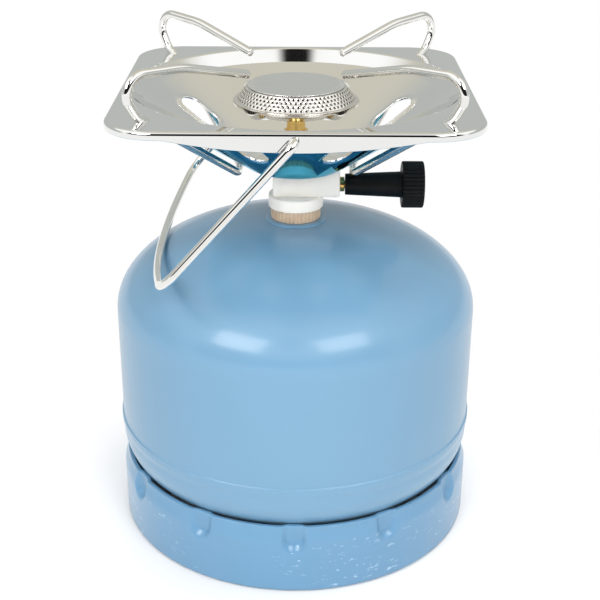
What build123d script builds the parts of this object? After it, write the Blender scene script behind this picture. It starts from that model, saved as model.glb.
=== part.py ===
"""A single-burner camping stove screwed onto a squat refillable gas cylinder.

Millimetres, +Z up. The origin is on the cylinder's axis at the surface it stands on. The tap knob
points along +X, and the bail rests on the -X shoulder of the cylinder.
"""
import math
import os

from build123d import *

# Fits
slip = 0.05
thread_fit = 0.08
pivot_fit = 0.08
rest_gap = 0.3

# Gas cylinder shells
body_r = 101.0
shell_t = 2.0
seam_above_ring = 21.5
bottom_skirt = 5.5
bottom_drop = 44.0
knuckle_r = 26.0
wall_above_seam = 66.5
dome_rise = 50.0
weld_width = 9.0
weld_proud = 0.8

# Foot ring
ring_proud = 0.6
ring_t = 2.5
ring_h = 40.0
ring_flange = 7.5
ring_bend = 2.0
dimple_count = 12
dimple_half_width = 5.5
dimple_h = 15.0

# Neck boss and cylinder valve
boss_r = 17.0
boss_depth = 12.0
boss_proud = 0.6
valve_shank_r = 9.5
valve_shank_below = 22.0
valve_head_r = 13.8
valve_head_h = 6.4
flute_count = 36
flute_r = 0.5
socket_r = 8.1
socket_depth = 13.0
seat_web = 3.5
port_r = 2.2
chamber_r = 5.0
ball_r = 3.2
ball_lift = 1.2
retainer_t = 1.5
retainer_hole_r = 2.0
spring_r = 3.6
spring_bore_r = 2.8

# Stove inlet
seal_t = 1.5
seal_bore_r = 2.6
seal_side_gap = 0.3
collar_r = 15.1
collar_h = 7.0
collar_edge = 1.0
inlet_r = 2.0
pin_r = 1.2
pin_head_t = 2.0
pin_head_up = 6.0
pin_flat = 1.4
filter_t = 2.0

# Tap block
block_left = 12.6
block_right = 24.0
block_depth = 12.6
block_h = 15.9
block_edge = 1.2
tap_axis_up = 5.1
gland_socket_r = 3.5
gland_socket_depth = 8.0
tap_chamber_r = 3.0
tap_chamber_start = 4.0
tap_chamber_end = 11.0
outlet_in = 2.5
orifice_r = 0.8
outlet_r = 0.9

# Spindle, gland and knob
spindle_r = 2.0
stem_gap = 0.3
stem_collar_r = 2.9
stem_collar_t = 1.4
needle_len = 4.5
needle_tip_r = 0.3
needle_base_r = 1.2
needle_in = 1.5
needle_guide_r = 2.4
needle_guide_t = 1.6
needle_shank_r = 1.0
needle_shank_len = 7.4
needle_travel = 1.7
key_reach = 3.6
key_width = 1.0
spindle_in_knob = 24.0
gland_flange_r = 4.05
gland_flange_t = 2.6
oring_r = 0.7
knob_gap = 0.4
knob_neck_len = 31.0
knob_neck_r = 5.8
knob_neck_end_r = 7.15
knob_head_len = 11.9
knob_head_r = 12.8
knob_rib_count = 34
knob_rib_r = 0.55
knob_edge = 0.8
knob_recess_r = 3.4
knob_recess_depth = 9.0
screw_r = 1.2
screw_head_r = 2.8
screw_head_h = 2.0
screw_slot = 0.8
screw_in_spindle = 8.0

# Tray and dish
sheet_t = 1.0
floor_r = 25.0
cone_slope = 0.66
wall_run = 7.0
wall_rise = 7.0
tray_half = 92.4
tray_corner_r = 27.0
rim_strip = 4.4
lip_depth = 4.2
lip_mid_depth = 10.0
lip_arc_half = 62.0
lip_bend = 2.0
slot_count = 8
slot_mid_r = 58.0
slot_len = 25.0
slot_width = 14.0
slot_rim_h = 1.2

# Jet and mixing tube
jet_shank_r = 4.45
jet_shank_depth = 5.7
washer_r = 11.0
washer_t = 1.0
jet_hex_flats = 15.0
jet_hex_h = 4.0
jet_spigot_r = 4.2
jet_spigot_h = 5.0
jet_bore_r = 2.0
jet_head_r = 3.4
jet_head_h = 3.0
jet_orifice_r = 0.25
tube_wall = 0.75
tube_flange_r = 6.5
tube_flange_t = 1.5
tube_flange_up = 17.6
air_hole_r = 2.2
air_hole_up = 14.5
air_hole_count = 4

# Burner
burner_rim_r = 33.7
burner_rim_up = 35.5
burner_sheet = 0.8
cup_floor_r = 23.0
cup_floor_drop = 4.9
cup_knee_r = 30.0
cup_knee_drop = 1.3
cup_rim_flat = 2.5
hub_wall = 1.95
hub_h = 2.5
bump_count = 4
bump_r = 9.5
bump_at_r = 27.0
bump_drop = 5.3
band_foot_r = 31.9
band_top_r = 26.7
band_rise = 7.8
band_lap = 1.3
band_rows = 4
band_holes_per_row = 72
band_hole_r = 0.55
band_margin = 0.15
cap_r = 25.85
cap_t = 0.8

# Wires
wire_r = 2.3
foot_inset = 18.0
foot_hole_side = 0.3
support_tip_out = 0.8
support_tip_rise = 10.9
support_shoulder_in = 23.5
support_shoulder_rise = 21.2
support_top_rise = 22.7
support_leg_out = 10.7
support_top_out = 7.0
support_leg_rise = 12.0
support_ankle_out = 5.0
support_ankle_rise = 2.6
support_foot_in = 9.0
support_foot_drop = 6.7
support_bends = [60.0, 10.0, 8.0, 12.0, 20.0, 12.0]
support_knee_x = 31.0
support_knee_half = 7.5
support_knee_drop = 3.15
bail_pivot_drop = 4.2
bail_side_gap = 1.8
bail_reach = 112.0
bail_bow_r = 330.0
bail_corner_r = 14.0
bail_elbow_r = 4.5
bail_pin_in = 1.6

# Levels that follow from the sizes above
ring_r = body_r + ring_proud
seam_z = ring_h + seam_above_ring
dome_z = seam_z + wall_above_seam
crown_z = dome_z + dome_rise
boss_top = crown_z + boss_proud
head_top = boss_top + valve_head_h
web_top = head_top - socket_depth
web_low = web_top - seat_web
collar_z = head_top + slip
block_z = collar_z + collar_h
block_top = block_z + block_h
tap_z = block_z + tap_axis_up
floor_z = block_top + sheet_t
rim_r = tray_half - rim_strip
wall_foot_r = rim_r - wall_run
wall_foot_z = floor_z + (wall_foot_r - floor_r) * cone_slope
tray_z = wall_foot_z + wall_rise
hex_z = floor_z + washer_t
tube_z = hex_z + jet_hex_h
stub_r = socket_r - thread_fit
stub_z = web_top + slip + seal_t + slip
burner_rim_z = floor_z + burner_rim_up
band_top_z = burner_rim_z + band_rise
tube_r = jet_spigot_r + slip + tube_wall
bail_z = tray_z - bail_pivot_drop
bail_side = tray_half + bail_side_gap + wire_r
corner_reach = (tray_half - tray_corner_r) * math.sqrt(2) + tray_corner_r
foot_d = corner_reach - foot_inset


def disc(radius, low, high):
    """Upright cylinder on the Z axis between two levels."""
    return Pos(0, 0, (low + high) / 2) * Cylinder(radius, high - low)


def tube(outer, inner, low, high):
    """Upright ring on the Z axis between two levels."""
    return disc(outer, low, high) - disc(inner, low - 1, high + 1)


def rod_x(radius, start, end, level, end_radius=None):
    """Round bar, or taper, along X at a level."""
    turn = Pos((start + end) / 2, 0, level) * Rot(0, 90, 0)
    if end_radius is None:
        return turn * Cylinder(radius, end - start)
    return turn * Cone(radius, end_radius, end - start)


def turned(points):
    """Solid turned about Z from a closed outline of radius and height."""
    return revolve(Plane.XZ * make_face(Polyline(*points, close=True)), Axis.Z)


def around(solid, count, start=0.0):
    """Copies of a solid spaced evenly about Z."""
    return [Rot(0, 0, start + 360 / count * i) * solid for i in range(count)]


def sheet_outline(points, thickness):
    """Closed outline of a bent sheet: the points and their mitred offset to the right of travel."""
    normals = []
    for (x0, y0), (x1, y1) in zip(points, points[1:]):
        run = math.hypot(x1 - x0, y1 - y0)
        normals.append(((y1 - y0) / run, -(x1 - x0) / run))
    offset = []
    for i, (x, y) in enumerate(points):
        before = normals[max(i - 1, 0)]
        after = normals[min(i, len(normals) - 1)]
        share = thickness / (1 + before[0] * after[0] + before[1] * after[1])
        offset.append((x + (before[0] + after[0]) * share, y + (before[1] + after[1]) * share))
    return points + offset[::-1]


def swept_wire(path):
    """Round wire along a path."""
    return sweep(Plane(origin=path @ 0, z_dir=path % 0) * Circle(wire_r), path=path)


def lower_radius(level):
    """Outer radius of the bottom dish at a level on its knuckle."""
    below = seam_z - bottom_skirt - level
    return body_r - knuckle_r + math.sqrt(knuckle_r**2 - below**2)


def cylinder_upper_shell():
    inner_r = body_r - shell_t
    outer = EllipticalCenterArc((0, dome_z), body_r, dome_rise, arc_size=90)
    inner = EllipticalCenterArc((0, dome_z), inner_r, dome_rise - shell_t, arc_size=90)
    crown = Line((0, crown_z), (0, crown_z - shell_t))
    edge = Polyline((inner_r, dome_z), (inner_r, seam_z), (body_r, seam_z), (body_r, dome_z))
    shell = revolve(Plane.XZ * make_face([outer, crown, inner, edge]), Axis.Z)
    return shell - disc(boss_r + slip, dome_z, crown_z + 1)


def cylinder_lower_shell():
    top = seam_z - bottom_skirt
    low = top - bottom_drop
    inset = body_r - knuckle_r
    dish_r = (inset**2 + bottom_drop**2 - knuckle_r**2) / (2 * (bottom_drop - knuckle_r))
    meet = math.degrees(math.atan2(dish_r - bottom_drop, inset))
    edges = [
        CenterArc((inset, top), knuckle_r, 0, -meet),
        CenterArc((0, low + dish_r), dish_r, -meet, meet - 90),
        Line((0, low), (0, low + shell_t)),
        CenterArc((0, low + dish_r), dish_r - shell_t, -meet, meet - 90),
        CenterArc((inset, top), knuckle_r - shell_t, 0, -meet),
        Polyline((body_r - shell_t, top), (body_r - shell_t, seam_z), (body_r, seam_z), (body_r, top)),
    ]
    return revolve(Plane.XZ * make_face(edges), Axis.Z)


def girth_weld():
    foot = body_r + slip / 2
    low = (foot, seam_z - weld_width / 2)
    high = (foot, seam_z + weld_width / 2)
    crown = ThreePointArc(low, (body_r + weld_proud, seam_z), high)
    return revolve(Plane.XZ * make_face([crown, Line(high, low)]), Axis.Z)


def foot_ring():
    wall = tube(ring_r, ring_r - ring_t, 0, ring_h)
    wall += tube(ring_r, ring_r - ring_flange, 0, ring_t)
    wall = fillet(wall.edges().group_by(Axis.Z)[0].sort_by(SortBy.RADIUS)[-1], ring_bend)
    depth = ring_r - ring_t - lower_radius(ring_h) - slip
    press_r = (dimple_half_width**2 + depth**2) / (2 * depth)
    skin_r = press_r + ring_t
    end_z = ring_h - dimple_h + dimple_half_width
    place = Pos(0, depth - ring_r - press_r, 0)
    end = place * Pos(0, 0, end_z)
    punch = place * disc(press_r, end_z, ring_h + 1) + end * Sphere(press_r)
    skin = place * disc(skin_r, end_z, ring_h) + end * Sphere(skin_r) - punch
    skin &= disc(ring_r - ring_t / 2, 0, ring_h)
    wall -= around(punch, dimple_count)
    return wall + around(skin, dimple_count)


def neck_boss():
    return tube(boss_r, valve_shank_r + slip, boss_top - boss_depth, boss_top)


def bottle_valve_body():
    body = disc(valve_head_r, boss_top, head_top)
    body += disc(valve_shank_r, boss_top - valve_shank_below, boss_top)
    body -= disc(socket_r, web_top, head_top + 1)
    body -= disc(port_r, web_low - 1, web_top + 1)
    body -= disc(chamber_r, boss_top - valve_shank_below - 1, web_low)
    flute = Pos(valve_head_r, 0, (boss_top + head_top) / 2) * Cylinder(flute_r, valve_head_h + 1)
    return body - around(flute, flute_count)


ball_z = web_low - math.sqrt(ball_r**2 - port_r**2) - ball_lift
spring_low = boss_top - valve_shank_below + retainer_t


def bottle_valve_ball():
    return Pos(0, 0, ball_z) * Sphere(ball_r)


def bottle_valve_spring():
    contact = math.sqrt(ball_r**2 - spring_bore_r**2)
    return tube(spring_r, spring_bore_r, spring_low + slip, ball_z - contact - slip)


def bottle_valve_retainer():
    return tube(chamber_r - slip, retainer_hole_r, spring_low - retainer_t, spring_low)


def coupling_seal():
    return tube(socket_r - seal_side_gap, seal_bore_r, web_top + slip, web_top + slip + seal_t)


def coupling_collar():
    ring = tube(collar_r, stub_r + slip, collar_z, block_z)
    return fillet(ring.edges().group_by(Axis.Z)[-1].sort_by(SortBy.RADIUS)[-1], collar_edge)


def tap_body():
    length = block_left + block_right
    block = Pos((block_right - block_left) / 2, 0, (block_z + block_top) / 2)
    block = block * Box(length, block_depth, block_h)
    block = fillet(block.edges().filter_by(Axis.Z), block_edge)
    body = block + disc(stub_r, stub_z, block_z + block_edge)
    body -= disc(inlet_r, stub_z - 1, tap_z)
    body -= rod_x(orifice_r, 0, tap_chamber_start, tap_z)
    body -= rod_x(tap_chamber_r, tap_chamber_start, tap_chamber_end, tap_z)
    keyway = Box(tap_chamber_end - tap_chamber_start, key_reach + slip, key_width + 2 * slip)
    body -= Pos((tap_chamber_start + tap_chamber_end) / 2, (key_reach + slip) / 2, tap_z) * keyway
    body -= rod_x(spindle_r + slip, tap_chamber_end, block_right, tap_z)
    body -= rod_x(gland_socket_r, block_right - gland_socket_depth, block_right + 1, tap_z)
    socket_low = block_top - jet_shank_depth - rest_gap
    body -= disc(jet_shank_r + slip, socket_low, block_top + 1)
    outlet_x = tap_chamber_start + outlet_in
    outlet = Line((outlet_x, 0, tap_z), (0, 0, socket_low + outlet_r))
    body -= sweep(Plane(origin=outlet @ 0, z_dir=outlet % 0) * Circle(outlet_r), path=outlet)
    return body


def pusher_pin():
    tip = ball_z + ball_r + slip
    head = stub_z + pin_head_up
    pin = disc(pin_r, tip, head) + disc(inlet_r - slip / 2, head, head + pin_head_t)
    side = Box(inlet_r, 2 * inlet_r, pin_head_t)
    return pin - [Pos(s * (pin_flat + inlet_r / 2), 0, head + pin_head_t / 2) * side for s in (1, -1)]


def gas_filter():
    low = stub_z + pin_head_up + pin_head_t + slip
    return disc(inlet_r - slip / 2, low, low + filter_t)


needle_x = tap_chamber_start - needle_in
gland_x = block_right - gland_socket_depth
knob_x = block_right + gland_flange_t + knob_gap
knob_end = knob_x + knob_neck_len + knob_head_len
spindle_end = knob_x + spindle_in_knob
oring_x = gland_x + 2 * oring_r
collar_x = oring_x + oring_r + slip
guide_x = needle_x + needle_len
shank_x = guide_x + needle_guide_t
needle_end = shank_x + needle_shank_len


def tap_needle():
    needle = rod_x(needle_tip_r, needle_x, guide_x, tap_z, needle_base_r)
    needle += rod_x(needle_guide_r, guide_x, shank_x, tap_z)
    needle += Pos((guide_x + shank_x) / 2, key_reach / 2, tap_z) * Box(needle_guide_t, key_reach, key_width)
    return needle + rod_x(needle_shank_r, shank_x, needle_end, tap_z)


def tap_spindle():
    stem_x = tap_chamber_end + stem_gap
    stem = rod_x(spindle_r, stem_x, spindle_end, tap_z)
    stem += rod_x(stem_collar_r, collar_x, collar_x + stem_collar_t, tap_z)
    stem -= rod_x(needle_shank_r + slip, stem_x - 1, needle_end + needle_travel + stem_gap, tap_z)
    hold = spindle_end - screw_in_spindle
    return stem - rod_x(screw_r, hold, spindle_end + 1, tap_z)


def spindle_oring():
    return Pos(oring_x, 0, tap_z) * Rot(0, 90, 0) * Torus(spindle_r + slip + oring_r, oring_r)


def gland_nut():
    inner = collar_x + stem_collar_t + slip
    nut = rod_x(gland_socket_r - slip, inner, block_right, tap_z)
    nut += rod_x(gland_flange_r, block_right, block_right + gland_flange_t, tap_z)
    return nut - rod_x(spindle_r + slip, inner - 1, knob_x + 1, tap_z)


def control_knob():
    head_x = knob_x + knob_neck_len
    knob = rod_x(knob_neck_r, knob_x, head_x, tap_z, knob_neck_end_r)
    head = rod_x(knob_head_r, head_x, knob_end, tap_z)
    head = fillet(head.edges().filter_by(GeomType.CIRCLE), knob_edge)
    rib = Pos(0, 0, knob_head_r) * Rot(0, 90, 0) * Cylinder(knob_rib_r, knob_head_len + 2)
    rib = Pos((head_x + knob_end) / 2, 0, tap_z) * rib
    spin = Axis((0, 0, tap_z), (1, 0, 0))
    head -= [rib.rotate(spin, 360 / knob_rib_count * i) for i in range(knob_rib_count)]
    knob += head
    knob -= rod_x(spindle_r + slip / 2, knob_x - 1, spindle_end + slip, tap_z)
    knob -= rod_x(screw_r + slip, spindle_end, knob_end, tap_z)
    return knob - rod_x(knob_recess_r, knob_end - knob_recess_depth, knob_end + 1, tap_z)


def knob_screw():
    seat = knob_end - knob_recess_depth
    low = spindle_end - screw_in_spindle + rest_gap
    screw = rod_x(screw_r - slip / 2, low, seat, tap_z)
    screw += rod_x(screw_head_r, seat, seat + screw_head_h, tap_z)
    slot = Box(screw_slot, 2 * screw_head_r + 1, screw_slot)
    return screw - Pos(seat + screw_head_h - screw_slot / 2, 0, tap_z) * slot


def jet_holder():
    body = disc(jet_shank_r, block_top - jet_shank_depth, hex_z)
    hexagon = RegularPolygon(jet_hex_flats / 2, 6, major_radius=False)
    body += extrude(Pos(0, 0, hex_z) * hexagon, jet_hex_h)
    body += disc(jet_spigot_r, tube_z, tube_z + jet_spigot_h)
    return body - disc(jet_bore_r, block_top - jet_shank_depth - 1, tube_z + jet_spigot_h + 1)


def gas_jet():
    seat = tube_z + jet_spigot_h
    jet = disc(jet_bore_r - slip / 2, tube_z, seat) + disc(jet_head_r, seat, seat + jet_head_h)
    return jet - disc(jet_orifice_r, tube_z - 1, seat + jet_head_h + 1)


def clamp_washer():
    return tube(washer_r, jet_shank_r + slip, floor_z, hex_z)


def tray_lip():
    """Flat square of the tray with its turned-down lip, deeper at the middle of front and back."""
    low = tray_z - lip_mid_depth
    outline = RectangleRounded(2 * tray_half, 2 * tray_half, tray_corner_r)
    inner_half = tray_half - sheet_t
    inside = RectangleRounded(2 * inner_half, 2 * inner_half, tray_corner_r - sheet_t)
    outer = extrude(Pos(0, 0, low) * outline, lip_mid_depth)
    outer = fillet(outer.edges().group_by(Axis.Z)[-1], lip_bend)
    hollow = extrude(Pos(0, 0, low) * inside, lip_mid_depth - sheet_t)
    hollow = fillet(hollow.edges().group_by(Axis.Z)[-1], lip_bend - sheet_t / 2)
    edge_z = tray_z - lip_depth
    reach = tray_half + 1
    arc = ThreePointArc((-lip_arc_half, edge_z), (0, low), (lip_arc_half, edge_z))
    start = Line((-reach, edge_z), (-lip_arc_half, edge_z))
    under = low - 1
    below = [(reach, edge_z), (reach, under), (-reach, under), (-reach, edge_z)]
    rest = Polyline((lip_arc_half, edge_z), *below)
    trim = extrude(Plane.XZ * make_face([start, arc, rest]), reach, both=True)
    return outer - hollow - trim - disc(rim_r, low, tray_z + 1)


def slot_plane():
    """Plane on the dish's inner face at a slot, its normal pointing out through the sheet."""
    lean = math.atan(cone_slope)
    level = floor_z + (slot_mid_r - floor_r) * cone_slope
    along = (math.cos(lean), 0, math.sin(lean))
    out = (math.sin(lean), 0, -math.cos(lean))
    return Plane(origin=(slot_mid_r, 0, level), x_dir=along, z_dir=out)


def tray_dish():
    hole_r = jet_shank_r + slip
    flat = (rim_r + sheet_t, tray_z)
    line = [(hole_r, floor_z), (floor_r, floor_z), (wall_foot_r, wall_foot_z), (rim_r, tray_z), flat]
    tray = tray_lip() + turned(sheet_outline(line, sheet_t))
    plane = slot_plane()
    rim = plane * SlotOverall(slot_len + 2 * sheet_t, slot_width + 2 * sheet_t)
    opening = plane * SlotOverall(slot_len, slot_width)
    bore = extrude(opening, 3 * sheet_t) + extrude(opening, -slot_rim_h - sheet_t)
    step = 180 / slot_count
    tray += around(extrude(rim, -slot_rim_h), slot_count, step)
    tray -= around(bore, slot_count, step)
    run = support_ankle_out + support_foot_in
    lean = math.atan2(support_ankle_rise + support_foot_drop, run)
    cross = foot_d + support_ankle_out - (support_ankle_rise + sheet_t / 2) / math.tan(lean)
    half = (wire_r + foot_hole_side) / math.sin(lean) + sheet_t / 2 / math.tan(lean)
    foot = Pos(cross, 0, tray_z - 2 * sheet_t) * SlotOverall(2 * half, 2 * (wire_r + foot_hole_side))
    tray -= around(extrude(foot, 3 * sheet_t), 4, 45)
    pivot = Pos(0, tray_half - sheet_t / 2, bail_z) * Rot(90, 0, 0)
    return tray - around(pivot * Cylinder(wire_r + pivot_fit, 3 * sheet_t), 2)


def mixing_tube():
    top = burner_rim_z - cup_floor_drop + burner_sheet
    body = tube(tube_r, jet_spigot_r + slip, tube_z, top)
    low = floor_z + tube_flange_up
    body += tube(tube_flange_r, tube_r - tube_wall / 2, low, low + tube_flange_t)
    hole = Pos(tube_r, 0, floor_z + air_hole_up) * Rot(0, 90, 0) * Cylinder(air_hole_r, 3 * tube_wall)
    return body - around(hole, air_hole_count, 45)


def burner_cup():
    knee = (cup_knee_r, burner_rim_z - cup_knee_drop)
    hub = tube_r + slip
    floor = burner_rim_z - cup_floor_drop
    shoulder = (burner_rim_r - cup_rim_flat, burner_rim_z)
    rim = (burner_rim_r, burner_rim_z)
    cup = turned(sheet_outline([(hub, floor), (cup_floor_r, floor), knee, shoulder, rim], burner_sheet))
    cup += tube(hub + hub_wall, hub, floor - hub_h, floor)
    low = burner_rim_z - bump_drop
    ball = Pos(bump_at_r, 0, low + bump_r) * Sphere(bump_r)
    near = bump_at_r - bump_r
    below = [(burner_rim_r, low - 1), (near, low - 1), (near, floor)]
    bump = ball & turned([(cup_floor_r, floor), knee, shoulder, rim] + below)
    return cup + around(bump, bump_count, 45)


def burner_band():
    foot_z = burner_rim_z + burner_sheet
    top = (band_top_r, band_top_z)
    foot = (band_foot_r, foot_z)
    line = [(band_top_r - band_lap, band_top_z), top, foot, (band_foot_r + band_lap, foot_z)]
    band = turned(sheet_outline(line, burner_sheet))
    rise = band_top_z - foot_z
    spread = band_foot_r - band_top_r
    holes = []
    for row in range(band_rows):
        share = band_margin + (1 - 2 * band_margin) * row / (band_rows - 1)
        centre = (band_foot_r - spread * share, 0, foot_z + rise * share)
        hole = Plane(origin=centre, z_dir=(rise, 0, spread)) * Cylinder(band_hole_r, 4 * burner_sheet)
        holes += around(hole, band_holes_per_row, row % 2 * 180 / band_holes_per_row)
    return band - holes


def burner_cap():
    cap = disc(cap_r, band_top_z, band_top_z + cap_t)
    return fillet(cap.edges().group_by(Axis.Z)[-1], cap_t / 2)


def bent_path(corners, bends):
    """Path through corners in space, each inner corner rounded with its own bend radius."""
    corners = [Vector(*corner) for corner in corners]
    edges = []
    start = corners[0]
    for before, corner, after, bend in zip(corners, corners[1:], corners[2:], bends):
        back = (before - corner).normalized()
        ahead = (after - corner).normalized()
        half = math.radians(back.get_angle(ahead)) / 2
        run = bend / math.tan(half)
        middle = corner + (back + ahead).normalized() * (bend / math.sin(half) - bend)
        arc_start = corner + back * run
        arc_end = corner + ahead * run
        edges.append(Line(start, arc_start))
        edges.append(ThreePointArc(arc_start, middle, arc_end))
        start = arc_end
    edges.append(Line(start, corners[-1]))
    return Wire(edges)


def pan_support():
    """Left wire: the front arm from its tip out, down through the tray and under the dish, and back."""
    arm = [
        (burner_rim_r + support_tip_out, tray_z + support_tip_rise),
        (foot_d - support_shoulder_in, tray_z + support_shoulder_rise),
        (foot_d + support_top_out, tray_z + support_top_rise),
        (foot_d + support_leg_out, tray_z + support_leg_rise),
        (foot_d + support_ankle_out, tray_z + support_ankle_rise),
        (foot_d - support_foot_in, tray_z - support_foot_drop),
    ]
    diagonal = math.sqrt(0.5)
    front = [(-reach * diagonal, -reach * diagonal, level) for reach, level in arm]
    front.append((-support_knee_x, -support_knee_half, floor_z - support_knee_drop))
    back = [(x, -y, z) for x, y, z in reversed(front)]
    return swept_wire(bent_path(front + back, support_bends + support_bends[::-1]))


def dome_clearance(x, z):
    """Distance of a point in the XZ plane from the dome, below zero inside it."""
    steps = 400
    near = math.inf
    for i in range(steps + 1):
        turn = math.pi / 2 * i / steps
        near = min(near, math.hypot(body_r * math.cos(turn) - x, dome_z + dome_rise * math.sin(turn) - z))
    inside = (x / body_r) ** 2 + ((z - dome_z) / dome_rise) ** 2 < 1
    return -near if inside else near


def bail_rest_angle():
    """Angle from straight down, in radians, at which the bail's bow lies on the dome."""
    low, high = 0.0, math.pi / 2
    for _ in range(30):
        angle = (low + high) / 2
        gap = dome_clearance(bail_reach * math.sin(angle), bail_z - bail_reach * math.cos(angle))
        if gap < wire_r + rest_gap:
            low = angle
        else:
            high = angle
    return high


bail_angle = bail_rest_angle()


def bail_handle():
    """Flat bent wire: two pins in the lip, two legs and a bowed bar."""
    bow_z = bail_reach - bail_bow_r
    corner_y = bail_side - bail_corner_r
    corner_z = bow_z + math.sqrt((bail_bow_r - bail_corner_r) ** 2 - corner_y**2)
    grow = bail_bow_r / (bail_bow_r - bail_corner_r)
    bow_end = (corner_y * grow, bow_z + (corner_z - bow_z) * grow)
    pin_end = tray_half - sheet_t - bail_pin_in
    elbow_y = bail_side - bail_elbow_r
    bow_start = (-bow_end[0], bow_end[1])
    path = Wire([
        Line((-pin_end, 0), (-elbow_y, 0)),
        TangentArc((-elbow_y, 0), (-bail_side, bail_elbow_r), tangent=(-1, 0)),
        Line((-bail_side, bail_elbow_r), (-bail_side, corner_z)),
        TangentArc((-bail_side, corner_z), bow_start, tangent=(0, 1)),
        ThreePointArc(bow_start, (0, bail_reach), bow_end),
        TangentArc((bail_side, corner_z), bow_end, tangent=(0, 1)),
        Line((bail_side, corner_z), (bail_side, bail_elbow_r)),
        TangentArc((elbow_y, 0), (bail_side, bail_elbow_r), tangent=(1, 0)),
        Line((elbow_y, 0), (pin_end, 0)),
    ])
    flat = Plane((0, 0, bail_z), x_dir=(0, 1, 0), z_dir=(-math.cos(bail_angle), 0, math.sin(bail_angle)))
    return swept_wire(flat * path)


nodes = {
    "cylinder_upper_shell": cylinder_upper_shell(),
    "cylinder_lower_shell": cylinder_lower_shell(),
    "girth_weld": girth_weld(),
    "foot_ring": foot_ring(),
    "neck_boss": neck_boss(),
    "bottle_valve_body": bottle_valve_body(),
    "bottle_valve_ball": bottle_valve_ball(),
    "bottle_valve_spring": bottle_valve_spring(),
    "bottle_valve_retainer": bottle_valve_retainer(),
    "coupling_seal": coupling_seal(),
    "coupling_collar": coupling_collar(),
    "tap_body": tap_body(),
    "pusher_pin": pusher_pin(),
    "gas_filter": gas_filter(),
    "tap_needle": tap_needle(),
    "tap_spindle": tap_spindle(),
    "spindle_oring": spindle_oring(),
    "gland_nut": gland_nut(),
    "control_knob": control_knob(),
    "knob_screw": knob_screw(),
    "jet_holder": jet_holder(),
    "gas_jet": gas_jet(),
    "clamp_washer": clamp_washer(),
    "tray_dish": tray_dish(),
    "mixing_tube": mixing_tube(),
    "burner_cup": burner_cup(),
    "burner_band": burner_band(),
    "burner_cap": burner_cap(),
    "bail_handle": bail_handle(),
    "pan_support_left": pan_support(),
    "pan_support_right": Rot(0, 0, 180) * pan_support(),
}

os.makedirs("parts", exist_ok=True)
for name, solid in nodes.items():
    export_step(solid, f"parts/{name}.step")

print(f"tray level {tray_z:.2f}, bail pivot level {bail_z:.2f}, tap axis level {tap_z:.2f}")
print(f"bail rests {math.degrees(bail_angle):.2f} degrees from straight down")
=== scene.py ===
"""Looks of a single-burner camping stove screwed onto a squat refillable gas cylinder.

Sizes are millimetres in the part's own frame: +Z is up, the cylinder's axis is x = y = 0 and the tap knob
points along +X. Surfaces are worked out in millimetres and written to the meshes in metres.
"""
import logging
import math
from dataclasses import dataclass, field
from enum import Enum
from functools import cache

import bmesh
import bpy
import numpy as np
from mathutils import Matrix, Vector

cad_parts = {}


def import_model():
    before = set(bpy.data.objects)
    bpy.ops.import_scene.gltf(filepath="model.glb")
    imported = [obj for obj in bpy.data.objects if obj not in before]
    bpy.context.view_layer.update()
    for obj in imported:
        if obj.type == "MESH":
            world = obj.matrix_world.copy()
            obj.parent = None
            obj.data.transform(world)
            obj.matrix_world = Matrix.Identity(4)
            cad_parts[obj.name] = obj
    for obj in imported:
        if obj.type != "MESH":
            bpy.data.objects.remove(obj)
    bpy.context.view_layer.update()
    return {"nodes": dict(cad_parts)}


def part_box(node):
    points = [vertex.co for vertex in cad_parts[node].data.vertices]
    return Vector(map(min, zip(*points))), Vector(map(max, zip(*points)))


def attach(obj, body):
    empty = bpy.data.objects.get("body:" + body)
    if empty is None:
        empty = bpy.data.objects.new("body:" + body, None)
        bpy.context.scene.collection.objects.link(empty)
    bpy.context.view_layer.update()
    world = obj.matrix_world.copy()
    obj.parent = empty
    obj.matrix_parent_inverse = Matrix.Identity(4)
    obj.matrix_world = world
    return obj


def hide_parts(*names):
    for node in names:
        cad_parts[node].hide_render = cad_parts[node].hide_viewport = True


Array = np.ndarray
Socket = bpy.types.NodeSocket
Triple = tuple[float, float, float]
Range = tuple[float, float]
MM = 0.001
TURN = 2 * math.pi
TINY = 1e-9
NO_LENGTH = 1e-12
SAME_POINT = 1e-7
MERGE_DISTANCE = 2e-6
LOOKS_DOWN = -0.6
WIRE_CUT_SHARE = 0.3
COAT_ROUGHNESS = 0.08
MIX_SHARE, MIX_FIRST, MIX_SECOND, MIX_RESULT = 0, 6, 7, 2
PATCH_EDGE = (0.3, 0.7)
FLECK_SQUEEZE = (1.0, 1.0, 2.6)
FLECK_SCALE, FLECK_DETAIL, FLECK_ROUGHNESS = 190.0, 4.0, 0.7
FLECK_EDGE = (0.60, 0.67)
KNOCK_SCALE = 24.0
KNOCK_EDGE = (0.44, 0.58)
WHITE = (1, 1, 1, 1)
log = logging.getLogger("stove")


class Body(Enum):
    """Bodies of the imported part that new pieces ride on."""

    CYLINDER = "cylinder"
    STOVE = "stove"
    TAP = "tap"
    BAIL = "bail"


class Side(Enum):
    """Sides of the tray that have a pan support, with the support's turn about Z in degrees."""

    LEFT = 0
    RIGHT = 180


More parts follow.
